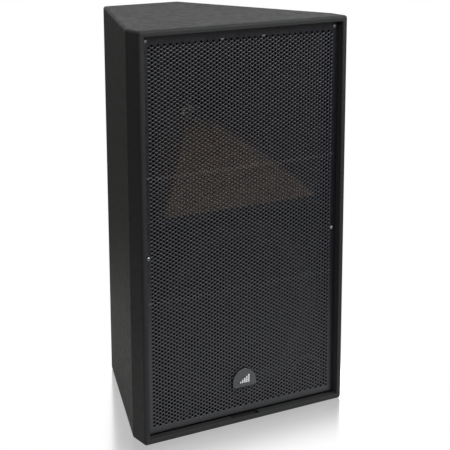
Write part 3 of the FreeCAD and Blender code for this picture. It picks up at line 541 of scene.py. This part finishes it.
def dress_nodes():
    """Give every CAD node the finish of its slot."""
    for part in frame["record"]["subparts"]:
        node = frame["nodes"][part["node"]]
        node.data.materials.clear()
        node.data.materials.append(finishes[part["material_slot"]])


# ---- mesh helpers ----
def place_mesh(name, mesh, material, smooth=True):
    """Put a mesh in the scene with one material."""
    mesh.materials.append(material)
    mesh.polygons.foreach_set("use_smooth", [smooth] * len(mesh.polygons))
    made = bpy.data.objects.new(name, mesh)
    bpy.context.scene.collection.objects.link(made)
    return made


def mesh_object(name, vertices, faces, material):
    """A mesh object from points and faces."""
    mesh = bpy.data.meshes.new(name)
    mesh.from_pydata(vertices, [], faces)
    mesh.validate()
    return place_mesh(name, mesh, material)


def from_bmesh(name, bm, material, smooth=True):
    """A mesh object from a bmesh, which is freed."""
    mesh = bpy.data.meshes.new(name)
    bm.to_mesh(mesh)
    bm.free()
    return place_mesh(name, mesh, material, smooth)


def sharpen(made, angle_degrees):
    """Mark the edges sharper than an angle, so that only the rest shade smoothly."""
    made.data.set_sharp_from_angle(angle=math.radians(angle_degrees))


def stand_for(piece, slot, *nodes):
    """A piece that rides the cabinet and replaces CAD nodes; the slot is not used."""
    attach(piece, CABINET)
    if nodes:
        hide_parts(*nodes)


# ---- grille ----
HOLE_PITCH = 8.0 * MM
HOLE_RADIUS = 2.6 * MM
HOLE_ROUNDING = 0.85 * MM
HOLE_SIDES = 12
PLAIN_SIDE = 14.0 * MM
PLAIN_FOOT = 12.5 * MM
GRILLE_CORNER = 3.0 * MM
SHEET_THICKNESS = 1.5 * MM
RETURN_SETBACK = 19.5 * MM
CORNER_STEPS = 6
CELL_CORNERS = [(2, 0), (1, 1), (-1, 1), (-2, 0), (-1, -1), (1, -1)]


def hole_cells(low, high):
    """Hole centres of the staggered pattern as whole-number places.

    A column is 1.5 cell radii from the next and a row is half a pitch, so with x counted in half
    cell radii and z in half pitches, every corner of the hexagonal cells has whole numbers too."""
    half_cell = HOLE_PITCH / math.sqrt(3) / 2
    half_pitch = HOLE_PITCH / 2
    columns = int(((high.x - low.x) / 2 - PLAIN_SIDE - HOLE_RADIUS) / (3 * half_cell))
    first_row = low.z + PLAIN_FOOT + HOLE_RADIUS
    rows = int((high.z - PLAIN_FOOT - HOLE_RADIUS - first_row) / half_pitch)
    cells = []
    for column in range(-columns, columns + 1):
        stagger = (column + columns) % 2
        for row in range(stagger, rows + 1, 2):
            cells.append((3 * column, row))
    return cells, half_cell, half_pitch, first_row


class Sheet:
    """A flat sheet drawn in x and z: shared corners, round holes and border polygons.

    Each point is x, z and how far it lies behind the sheet's front. A hole's front edge is
    rounded over between its brow, on the front, and its rim; the back edge is square."""

    def __init__(self, half_cell, half_pitch, first_row):
        self.points = []
        self.front_faces = []
        self.back_faces = []
        self.brows = set()
        self.edge_points = set()
        self.index = {}
        self.scale = (half_cell, half_pitch, first_row)

    def add(self, x, z, dip=0.0):
        self.points.append((x, z, dip))
        return len(self.points) - 1

    def corner(self, key):
        """The point at a whole-number place, made once."""
        if key not in self.index:
            half_cell, half_pitch, first_row = self.scale
            self.index[key] = self.add(key[0] * half_cell, first_row + key[1] * half_pitch)
        return self.index[key]

    def circle(self, x, z, radius, dip):
        turns = [2 * math.pi * k / HOLE_SIDES for k in range(HOLE_SIDES)]
        return [self.add(x + radius * math.cos(t), z + radius * math.sin(t), dip) for t in turns]

    def cell(self, column, row):
        """The faces between a hexagonal cell's corners and its round hole."""
        half_cell, half_pitch, first_row = self.scale
        x = column * half_cell
        z = first_row + row * half_pitch
        corners = [self.corner((column + dx, row + dz)) for dx, dz in CELL_CORNERS]
        brow = self.circle(x, z, HOLE_RADIUS + HOLE_ROUNDING, 0.0)
        rim = self.circle(x, z, HOLE_RADIUS, HOLE_ROUNDING)
        self.brows.update(brow)
        step = HOLE_SIDES // 6
        for k in range(6):
            ends = [corners[k], corners[(k + 1) % 6]]
            arc = [(k * step + i) % HOLE_SIDES for i in range(step, -1, -1)]
            self.front_faces.append(ends + [brow[i] for i in arc])
            self.back_faces.append(ends + [rim[i] for i in arc])
        for k in range(HOLE_SIDES):
            after = (k + 1) % HOLE_SIDES
            self.front_faces.append([brow[k], brow[after], rim[after], rim[k]])

    def border_edges(self):
        """Directed edges that belong to one front face only."""
        edges = set()
        for face in self.front_faces:
            edges.update(zip(face, face[1:] + face[:1]))
        return {(a, b) for a, b in edges if (b, a) not in edges}

    def border_strip(self, follow, start, stop, outside):
        """Fill between the cells' outline, from start to stop, and a line outside it."""
        chain = [start]
        while chain[-1] != stop:
            chain.append(follow[chain[-1]])
        border = [self.add(x, z) for x, z in outside]
        loop = [start] + border + chain[:0:-1]
        self.edge_points.update(border + chain[:1] + chain[-1:])
        flat = [Vector((self.points[i][0], self.points[i][1], 0.0)) for i in loop]
        for a, b, c in geometry.tessellate_polygon([flat]):
            first, second = flat[b] - flat[a], flat[c] - flat[a]
            turn = first.x * second.y - first.y * second.x
            if abs(turn) > 1e-14:
                ordered = (a, b, c) if turn > 0 else (a, c, b)
                self.front_faces.append([loop[i] for i in ordered])
                self.back_faces.append([loop[i] for i in ordered])


def parting_corners(cells, parting):
    """Whole-number places where the parting above a row meets the right and left outline."""
    last_column = max(column for column, _ in cells)
    last_row = max(row for column, row in cells if column == last_column and row <= parting)
    return (last_column + 1, last_row + 1), (-last_column - 1, last_row + 1)


def rounded_end(high_x, end_z, upward):
    """The sheet's outline round its top or foot, anticlockwise seen from the front."""
    steps = [math.pi / 2 * k / CORNER_STEPS for k in range(CORNER_STEPS + 1)]
    inset_x = high_x - GRILLE_CORNER
    inset_z = end_z - upward * GRILLE_CORNER
    arc = [(upward * (inset_x + GRILLE_CORNER * math.cos(t)),
            inset_z + upward * GRILLE_CORNER * math.sin(t)) for t in steps]
    return arc + [(-x, z) for x, z in arc[::-1]]


def grille_band(cells, layout, low, high, below, above):
    """The part of the sheet between two partings; None is the sheet's own end."""
    sheet = Sheet(*layout)
    for column, row in cells:
        if (below is None or row > below) and (above is None or row <= above):
            sheet.cell(column, row)
    shared = set(sheet.index.values())
    follow = {a: b for a, b in sheet.border_edges() if a in shared and b in shared}
    sides = {}
    for parting in (below, above):
        if parting is not None:
            right, left = [sheet.corner(key) for key in parting_corners(cells, parting)]
            level = sheet.points[right][1]
            sides[parting] = (right, left, (high.x, level), (-high.x, level))
    if below is None:
        right, left, right_end, left_end = sides[above]
        foot = rounded_end(high.x, low.z, -1)
        sheet.border_strip(follow, left, right, [left_end] + foot + [right_end])
    elif above is None:
        right, left, right_end, left_end = sides[below]
        head = rounded_end(high.x, high.z, 1)
        sheet.border_strip(follow, right, left, [right_end] + head + [left_end])
    else:
        lower_right, lower_left, lower_right_end, lower_left_end = sides[below]
        upper_right, upper_left, upper_right_end, upper_left_end = sides[above]
        sheet.border_strip(follow, lower_right, upper_right, [lower_right_end, upper_right_end])
        sheet.border_strip(follow, upper_left, lower_left, [upper_left_end, lower_left_end])
    return sheet


def solid_sheet(sheet, front, back, name, material):
    """The drawn sheet given its thickness, with crisp outer edges and softened hole rims."""
    vertices = [(x, front + dip, z) for x, z, dip in sheet.points]
    behind = {}
    for i, (x, z, _) in enumerate(sheet.points):
        if i not in sheet.brows:
            behind[i] = len(vertices)
            vertices.append((x, back, z))
    faces = list(sheet.front_faces)
    faces += [[behind[i] for i in face[::-1]] for face in sheet.back_faces]
    faces += [[b, a, behind[a], behind[b]] for a, b in sheet.border_edges()]
    made = mesh_object(name, vertices, faces, material)
    mesh = made.data
    on_edge = np.zeros(len(vertices), bool)
    on_edge[list(sheet.edge_points)] = True
    on_edge[[behind[i] for i in sheet.edge_points]] = True
    ends = np.zeros(len(mesh.edges) * 2, np.int32)
    mesh.edges.foreach_get("vertices", ends)
    sharp = on_edge[ends.reshape(-1, 2)].all(1)
    mesh.attributes.new("sharp_edge", "BOOLEAN", "EDGE").data.foreach_set("value", sharp)
    return made


def return_lip(material):
    """The grille's folded foot: a short flange that turns back under the sheet's lower edge."""
    low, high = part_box("grille")
    sheet_back = low.y + SHEET_THICKNESS
    half = high.x - RETURN_SETBACK
    fold = 1.6 * MM
    turns = [math.pi / 2 * k / 6 for k in range(7)]
    inner = [(sheet_back + fold - fold * math.sin(t), low.z + SHEET_THICKNESS + fold
              - fold * math.cos(t)) for t in turns]
    profile = [(sheet_back, low.z), (high.y, low.z), (high.y, low.z + SHEET_THICKNESS)] + inner
    vertices = [(side * half, y, z) for side in (-1, 1) for y, z in profile]
    count = len(profile)
    faces = [list(range(count)), list(range(2 * count - 1, count - 1, -1))]
    faces += [[(k + 1) % count, k, k + count, (k + 1) % count + count] for k in range(count)]
    made = mesh_object("grille_return_lip", vertices, faces, material)
    sharpen(made, 40)
    return made


def build_grille(material):
    """Perforated sheet in three bands that meet without a visible joint, and its folded foot."""
    low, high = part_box("grille")
    cells, *layout = hole_cells(low, high)
    top_row = max(row for _, row in cells)
    first, second = top_row // 3, 2 * top_row // 3
    bands = {"lower": (None, first), "middle": (first, second), "upper": (second, None)}
    for name, (below, above) in bands.items():
        sheet = grille_band(cells, layout, low, high, below, above)
        piece = solid_sheet(sheet, low.y, low.y + SHEET_THICKNESS, "grille_sheet_" + name, material)
        stand_for(piece, "grille_steel", "grille")
    stand_for(return_lip(material), "grille_steel", "grille")


# ---- badge ----
BADGE_CORNER = 5.0 * MM
BADGE_SHOULDER = 11.0 * MM
BADGE_EDGE_DEPTH = 3.4 * MM
BADGE_SHOULDER_DEPTH = 0.86
BADGE_APEX_DEPTH = 0.96
BADGE_RIM_INSET = 0.055
BADGE_CROWN = 0.10
MARK_BARS = 5
MARK_BAR_WIDTH = 3.0 * MM
MARK_BAR_PITCH = 5.0 * MM
MARK_FOOT = 9.0 * MM
MARK_FIRST_HEIGHT = 4.0 * MM
MARK_RISE = 3.4 * MM
MARK_RELIEF = 1.1 * MM
MARK_BEVEL = 0.35 * MM


def badge_outline(low, high):
    """Flat foot, small round corners and an arched top, anticlockwise seen from the front."""
    half = high.x
    rise = high.z - low.z - BADGE_SHOULDER
    radius = (half * half + rise * rise) / (2 * rise)
    centre_z = high.z - radius
    first = math.asin((low.z + BADGE_SHOULDER - centre_z) / radius)
    arch_steps = 48
    turns = [first + (math.pi - 2 * first) * k / arch_steps for k in range(arch_steps + 1)]
    points = [(radius * math.cos(t), centre_z + radius * math.sin(t)) for t in turns]
    corner_steps = 8
    turns = [math.pi / 2 * k / corner_steps for k in range(corner_steps + 1)]
    inset = half - BADGE_CORNER
    left = [(-inset - BADGE_CORNER * math.cos(t), low.z + BADGE_CORNER * (1 - math.sin(t)))
            for t in turns]
    return points + left + [(-x, z) for x, z in left[::-1]]


def build_badge(material, mark_material):
    """A crowned arch badge with a rounded rim, and its raised row of rising bars."""
    low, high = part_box("badge")
    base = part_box("grille")[0].y
    outline = badge_outline(low, high)
    middle_z = low.z + 0.45 * (high.z - low.z)
    depth = base - low.y
    rim = [(1.0, 0.0), (1.0, BADGE_EDGE_DEPTH)]
    round_steps = 6
    round_over = depth * BADGE_SHOULDER_DEPTH - BADGE_EDGE_DEPTH
    for k in range(1, round_steps + 1):
        t = math.pi / 2 * k / round_steps
        rim.append((1.0 - BADGE_RIM_INSET * (1 - math.cos(t)),
                    BADGE_EDGE_DEPTH + round_over * math.sin(t)))
    crown_start = rim[-1][0]
    crown_steps = 8
    for k in range(1, crown_steps):
        share = crown_start * (1 - k / crown_steps)
        lift = BADGE_CROWN * depth * (1 - (share / crown_start) ** 2)
        rim.append((share, depth * BADGE_SHOULDER_DEPTH + lift))
    vertices = []
    for share, out in rim:
        vertices += [(x * share, base - out, middle_z + (z - middle_z) * share) for x, z in outline]
    count = len(outline)
    faces = [list(range(count - 1, -1, -1))]
    for level in range(len(rim) - 1):
        for k in range(count):
            a, b = level * count + k, level * count + (k + 1) % count
            faces.append([a, b, b + count, a + count])
    vertices.append((0.0, base - depth * BADGE_APEX_DEPTH, middle_z))
    top = (len(rim) - 1) * count
    faces += [[top + k, top + (k + 1) % count, len(vertices) - 1] for k in range(count)]
    badge = mesh_object("badge_plate", vertices, faces, material)
    sharpen(badge, 50)
    stand_for(badge, "badge_plastic", "badge")
    mark = build_mark(low, base - depth, mark_material)
    stand_for(mark, "badge_plastic")


def build_mark(low, front, material):
    """Five bars that rise from left to right, as on a level meter; it names nobody."""
    bm = bmesh.new()
    foot = low.z + MARK_FOOT
    for bar in range(MARK_BARS):
        height = MARK_FIRST_HEIGHT + MARK_RISE * bar
        x = (bar - (MARK_BARS - 1) / 2) * MARK_BAR_PITCH
        size = Vector((MARK_BAR_WIDTH, MARK_RELIEF, height))
        place = Matrix.Translation((x, front + size.y / 2, foot + height / 2))
        bmesh.ops.create_cube(bm, size=1.0, matrix=place @ Matrix.Diagonal((*size, 1.0)))
    bmesh.ops.bevel(bm, geom=bm.edges[:], offset=MARK_BEVEL, segments=3, profile=0.5,
                    affect="EDGES")
    return from_bmesh("badge_mark", bm, material)


# ---- woofer: the parts that flex ----
RING_SIDES = 144


def turned_ring(name, profile, centre, material):
    """A closed ring turned about the woofer's axis from (radius, depth) points, in metres."""
    vertices = []
    for k in range(RING_SIDES):
        turn = 2 * math.pi * k / RING_SIDES
        vertices += [(centre.x + r * math.cos(turn), centre.y + depth, centre.z + r * math.sin(turn))
                     for r, depth in profile]
    count = len(profile)
    faces = []
    for k in range(RING_SIDES):
        a = k * count
        b = (k + 1) % RING_SIDES * count
        faces += [[a + i, a + (i + 1) % count, b + (i + 1) % count, b + i] for i in range(count)]
    made = mesh_object(name, vertices, faces, material)
    bm = bmesh.new()
    bm.from_mesh(made.data)
    bmesh.ops.recalc_face_normals(bm, faces=bm.faces[:])
    bm.to_mesh(made.data)
    bm.free()
    sharpen(made, 60)
    return made


def cloth_ring(name, profile, slot, node):
    """A cloth ring turned about the woofer's axis in place of its CAD node, which is hidden."""
    centre = woofer_centre()
    piece = turned_ring(name, profile, centre, finishes[slot])
    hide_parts(node)
    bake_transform(piece)


def build_surround():
    """Doped cloth surround: a flat glued lip, two half rolls and a flat outer lip."""
    low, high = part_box("woofer_surround")
    outer = high.x
    inner = 153.5 * MM
    thickness = 0.7 * MM
    roll_start = 158.6 * MM
    roll_end = 175.4 * MM
    rolls = 2
    fullness = 0.8
    clearance = 0.1 * MM
    height = woofer_centre().y - low.y - thickness - 2 * clearance
    steps = 33
    line = [(inner, 0.0)]
    for k in range(steps):
        share = k / (steps - 1)
        lift = abs(math.sin(math.pi * rolls * share)) ** fullness
        line.append((roll_start + (roll_end - roll_start) * share, lift * height))
    line.append((outer, 0.0))
    front = [(r, -clearance - thickness - lift) for r, lift in line]
    rear = [(r, -clearance - max(0.0, lift - clearance)) for r, lift in line[::-1]]
    cloth_ring("woofer_surround_roll", front + rear, "surround_cloth", "woofer_surround")


def build_spider():
    """Corrugated spider between the coil former and the basket's shelf."""
    low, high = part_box("woofer_spider")
    inner = 38.5 * MM
    outer = high.x
    waves = 4
    middle = (low.y + high.y) / 2 - woofer_centre().y
    swing = (high.y - low.y) / 2 - 0.4 * MM
    edge_fade = 12
    steps = 97
    line = []
    for k in range(steps):
        share = k / (steps - 1)
        fade = min(1.0, edge_fade * share, edge_fade * (1 - share))
        line.append((inner + (outer - inner) * share,
                     middle + swing * fade * math.sin(2 * math.pi * waves * share)))
    thickness = 0.6 * MM
    front = [(r, depth - thickness / 2) for r, depth in line]
    rear = [(r, depth + thickness / 2) for r, depth in line[::-1]]
    cloth_ring("woofer_spider_cloth", front + rear, "spider_cloth", "woofer_spider")


# ---- wadding ----
PAD_GRID = 7 * MM
PAD_EDGE = 12 * MM
PAD_EDGE_SHARE = 0.25
PAD_RISE_SHARE = 0.62
PAD_LEAST_SHARE = 0.12
PAD_LUMPS = ((0.10, 22), (0.05, 70))
PAD_SWAY = 1.05 * MM
STAPLE_SPACING = 0.14
STAPLE_WANDER = 0.18
STAPLE_DENT = 15 * MM
STAPLE_DENT_SHARE = 0.62


def staple_places(corner, along, up):
    """Where staples hold a pad, as shares of its two sides."""
    across = max(2, round(along.length / STAPLE_SPACING))
    upward = max(2, round(up.length / STAPLE_SPACING))
    places = []
    for i in range(across):
        for j in range(upward):
            shift = noise.noise_vector(Vector((i * 3.1, j * 5.7, corner.z * 9 + corner.x)))
            places.append(((i + 0.5 + STAPLE_WANDER * shift.x) / across,
                           (j + 0.5 + STAPLE_WANDER * shift.y) / upward))
    return places


def pad_faces(columns, rows):
    """A closed pad's faces: its front grid, its foot grid and the strip round both."""
    width = columns + 1
    total = width * (rows + 1)
    faces = []
    for j in range(rows):
        for i in range(columns):
            a = j * width + i
            faces.append([a, a + 1, a + 1 + width, a + width])
            faces.append([a + total + width, a + 1 + width + total, a + 1 + total, a + total])
    loop = list(range(width))
    loop += [j * width + columns for j in range(1, rows + 1)]
    loop += [rows * width + i for i in range(columns - 1, -1, -1)]
    loop += [j * width for j in range(rows - 1, 0, -1)]
    return faces + [[b, a, a + total, b + total] for a, b in zip(loop, loop[1:] + loop[:1])]


def quilt(name, corner, along, up, out, material):
    """A pad of wadding on a wall: rounded edges, soft lumps and dents where staples hold it."""
    columns = max(12, int(along.length / PAD_GRID))
    rows = max(12, int(up.length / PAD_GRID))
    thick = out.length
    sideways = along.normalized()
    outward = out.normalized()
    stapled = staple_places(corner, along, up)
    top = []
    foot = []
    for j in range(rows + 1):
        for i in range(columns + 1):
            u, v = i / columns, j / rows
            edge_u = min(u, 1 - u) * along.length
            edge_v = min(v, 1 - v) * up.length
            near = min(1.0, min(edge_u, edge_v) / PAD_EDGE)
            height = thick * (PAD_EDGE_SHARE + PAD_RISE_SHARE * math.sqrt(near * (2 - near)))
            here = corner + along * u + up * v
            height *= 1 + sum(size * noise.noise(here * scale) for size, scale in PAD_LUMPS)
            for su, sv in stapled:
                away = math.hypot((u - su) * along.length, (v - sv) * up.length) / STAPLE_DENT
                height -= STAPLE_DENT_SHARE * thick * near * math.exp(-away * away)
            height = min(max(height, PAD_LEAST_SHARE * thick), thick)
            sway = noise.noise_vector(here * 30).x * PAD_SWAY * (1 - near)
            top.append(here + outward * height + sideways * sway)
            foot.append(here + sideways * sway)
    faces = pad_faces(columns, rows)
    if along.cross(up).dot(out) < 0:
        faces = [face[::-1] for face in faces]
    return mesh_object(name, top + foot, faces, material)


def lay_pad(name, node, corner, along, up, out, material):
    piece = quilt(name, corner, along, up, out, material)
    stand_for(piece, "wadding", node)


def plan_corners(node):
    """The four plan corners of a slanted slab, front wall side first."""
    points = {(round(v.co.x, 5), round(v.co.y, 5)) for v in frame["nodes"][node].data.vertices}
    by_depth = sorted(points, key=lambda p: p[1])
    pairs = (by_depth[:2], by_depth[2:])
    return [sorted(pair, key=lambda p: -abs(p[0])) for pair in pairs]


def stacked_levels(node):
    """The separate height ranges of a node's slabs."""
    heights = sorted({round(v.co.z, 5) for v in frame["nodes"][node].data.vertices})
    return list(zip(heights[::2], heights[1::2]))


def build_wadding(material):
    """Pads on both slanted walls, the back and the roof of the box."""
    for side in ("left", "right"):
        node = "lining_" + side
        (wall_front, face_front), (wall_back, _) = plan_corners(node)
        along = Vector((wall_back[0] - wall_front[0], wall_back[1] - wall_front[1], 0))
        out = Vector((face_front[0] - wall_front[0], face_front[1] - wall_front[1], 0))
        for level, (z0, z1) in zip(("lower", "upper"), stacked_levels(node)):
            lay_pad("wadding_" + side + "_" + level, node, Vector((*wall_front, z0)), along,
                    Vector((0, 0, z1 - z0)), out, material)
    low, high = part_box("lining_back")
    size = high - low
    lay_pad("wadding_back", "lining_back", Vector((low.x, high.y, low.z)), Vector((size.x, 0, 0)),
            Vector((0, 0, size.z)), Vector((0, -size.y, 0)), material)
    low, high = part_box("lining_top")
    size = high - low
    lay_pad("wadding_top", "lining_top", Vector((low.x, low.y, high.z)), Vector((size.x, 0, 0)),
            Vector((0, size.y, 0)), Vector((0, 0, -size.z)), material)


# ---- stage ----
FLOOR_RADIUS = 14.0
BACKGROUND = 1.0
MIRROR_STRENGTH = 0.55
MIRROR_REACH = 0.20
BOUNCE_GLOW = 0.22
MIRROR_ROUGHNESS = 0.17
LIT_FLOOR = (0.7, 1.25)
DIM_LIGHT = 0.02
SOFT_LOBES = [((0.10, 1.0, 0.25), 0.50, 0.95, 0.95),
              ((0.1, -0.1, 1.0), 0.55, 1.0, 0.16),
              ((0.35, -1.0, 0.35), 0.40, 1.0, 0.06)]
HORIZON_FADE = (-0.03, 0.05)
HORIZON_TOP = (0.45, 0.80)
HORIZON_LIGHT = (1.3, 0.35)


def footprint_distance(finish):
    """How far a point of the floor lies outside the cabinet's plan."""
    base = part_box("bottom_panel")
    bend = Vector((base[1].x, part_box("left_angled_panel")[0].y))
    rear = Vector((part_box("back_panel")[1].x, base[1].y))
    along = (rear - bend).normalized()
    angled = Vector((along.y, -along.x))
    sides = [((0.0, -1.0), -base[0].y), ((0.0, 1.0), base[1].y)]
    for side in (-1, 1):
        sides.append(((side, 0.0), base[1].x))
        sides.append(((side * angled.x, angled.y), angled.dot(bend)))
    farthest = None
    for (x, y), reach in sides:
        outside = finish.maths("SUBTRACT", finish.toward(finish.place, (x, y, 0.0)), reach)
        farthest = outside if farthest is None else finish.maths("MAXIMUM", farthest, outside)
    return farthest


def build_floor():
    """A white studio floor: it shows white with a mirror image that dies away round the
    cabinet, and it bounces light only where a studio lights it, close to the object."""
    bm = bmesh.new()
    bmesh.ops.create_circle(bm, cap_ends=True, radius=FLOOR_RADIUS, segments=96)
    finish = Finish("studio_floor", (0.80, 0.80, 0.80), 0.6)
    floor = from_bmesh("studio_floor", bm, finish.material, False)
    mirror = finish.node("ShaderNodeBsdfGlossy", {"Roughness": MIRROR_ROUGHNESS})
    image = finish.ramp(footprint_distance(finish), 0.0, MIRROR_REACH, MIRROR_STRENGTH, 0.0,
                        smooth=True)
    seen = finish.shaders(image, finish.source("ShaderNodeEmission", BACKGROUND),
                          mirror.outputs["BSDF"])
    lit = finish.node("ShaderNodeAddShader")
    finish.link(finish.shader.outputs["BSDF"], lit.inputs[0])
    finish.link(finish.source("ShaderNodeEmission", BOUNCE_GLOW), lit.inputs[1])
    distance = finish.node("ShaderNodeVectorMath", operation="LENGTH")
    finish.link(finish.place, distance.inputs[0])
    bounce = finish.shaders(finish.ramp(distance.outputs["Value"], *LIT_FLOOR),
                            lit.outputs["Shader"],
                            finish.node("ShaderNodeBsdfTransparent").outputs["BSDF"])
    path = finish.node("ShaderNodeLightPath")
    whole = finish.shaders(path.outputs["Is Camera Ray"], bounce, seen)
    finish.link(whole, finish.tree.nodes["Material Output"].inputs["Surface"])


def build_world():
    """Soft studio light, bright behind and above and dim elsewhere, that fades below the
    horizon. Shiny surfaces see a bright horizon all round, and the camera a plain backdrop."""
    world = bpy.data.worlds.new("studio")
    world.use_nodes = True
    sky = Graph(world.node_tree)
    sky.tree.nodes.clear()
    direction = sky.node("ShaderNodeTexCoord").outputs["Generated"]
    light = DIM_LIGHT
    for axis, low, high, strength in SOFT_LOBES:
        facing = sky.toward(direction, Vector(axis).normalized())
        light = sky.maths("ADD", light, sky.ramp(facing, low, high, 0.0, strength, smooth=True))
    height = sky.part(direction, "Z")
    above = sky.ramp(height, *HORIZON_FADE)
    light = sky.maths("MULTIPLY", light, above)
    horizon = sky.maths("MULTIPLY", sky.ramp(height, *HORIZON_TOP, *HORIZON_LIGHT), above)
    path = sky.node("ShaderNodeLightPath")
    lit = sky.shaders(path.outputs["Is Glossy Ray"],
                      sky.source("ShaderNodeBackground", light, (1.0, 0.97, 0.93)),
                      sky.source("ShaderNodeBackground", horizon))
    seen = sky.shaders(path.outputs["Is Camera Ray"], lit,
                       sky.source("ShaderNodeBackground", BACKGROUND))
    sky.link(seen, sky.node("ShaderNodeOutputWorld").inputs["Surface"])
    bpy.context.scene.world = world


def softbox(name, place, width, height, power, colour):
    """A rectangular area light that points at the cabinet's middle."""
    lamp = bpy.data.lights.new(name, "AREA")
    lamp.shape = "RECTANGLE"
    lamp.size = width
    lamp.size_y = height
    lamp.energy = power
    lamp.color = colour
    made = bpy.data.objects.new(name, lamp)
    made.location = place
    aim = (cad_box[0] + cad_box[1]) / 2 - Vector(place)
    made.rotation_euler = aim.to_track_quat("-Z", "Y").to_euler()
    bpy.context.scene.collection.objects.link(made)


def build_lights():
    """A key from the upper front right, a wide front fill and a low warm light behind."""
    softbox("key_softbox", (0.95, -1.0, 1.8), 0.7, 0.7, 19, (0.92, 0.95, 1.0))
    softbox("front_softbox", (-0.1, -1.3, 1.7), 1.0, 0.8, 17, (0.94, 0.96, 1.0))
    softbox("rear_softbox", (1.5, 1.4, 0.42), 1.2, 0.6, 26, (1.0, 0.97, 0.93))


CAMERA_PLACE = Vector((-1.516, -2.538, 1.164))
CAMERA_YAW = math.radians(32.2)
CAMERA_PITCH = math.radians(14.24)
CAMERA_ROLL = math.radians(-0.15)
CAMERA_LENS = 113.1
CAMERA_SHIFT = -0.0356


def build_camera():
    """A long lens from the front left, a little above the cabinet's top."""
    data = bpy.data.cameras.new("camera")
    data.sensor_width = 36.0
    data.lens = CAMERA_LENS
    data.shift_y = CAMERA_SHIFT
    data.clip_start = 0.05
    data.clip_end = 60.0
    camera = bpy.data.objects.new("camera", data)
    turns = (Matrix.Rotation(-CAMERA_YAW, 4, "Z")
             @ Matrix.Rotation(math.pi / 2 - CAMERA_PITCH, 4, "X")
             @ Matrix.Rotation(CAMERA_ROLL, 4, "Z"))
    camera.matrix_world = Matrix.Translation(CAMERA_PLACE) @ turns
    bpy.context.scene.collection.objects.link(camera)
    bpy.context.scene.camera = camera


# ---- build ----
build_camera()
build_world()
build_lights()
build_floor()
bpy.context.scene.view_settings.view_transform = "Standard"
make_finishes()
dress_nodes()
build_grille(finishes["grille_steel"])
build_badge(finishes["badge_plastic"], finishes["silver_mark"])
build_surround()
build_spider()
build_wadding(finishes["wadding"])
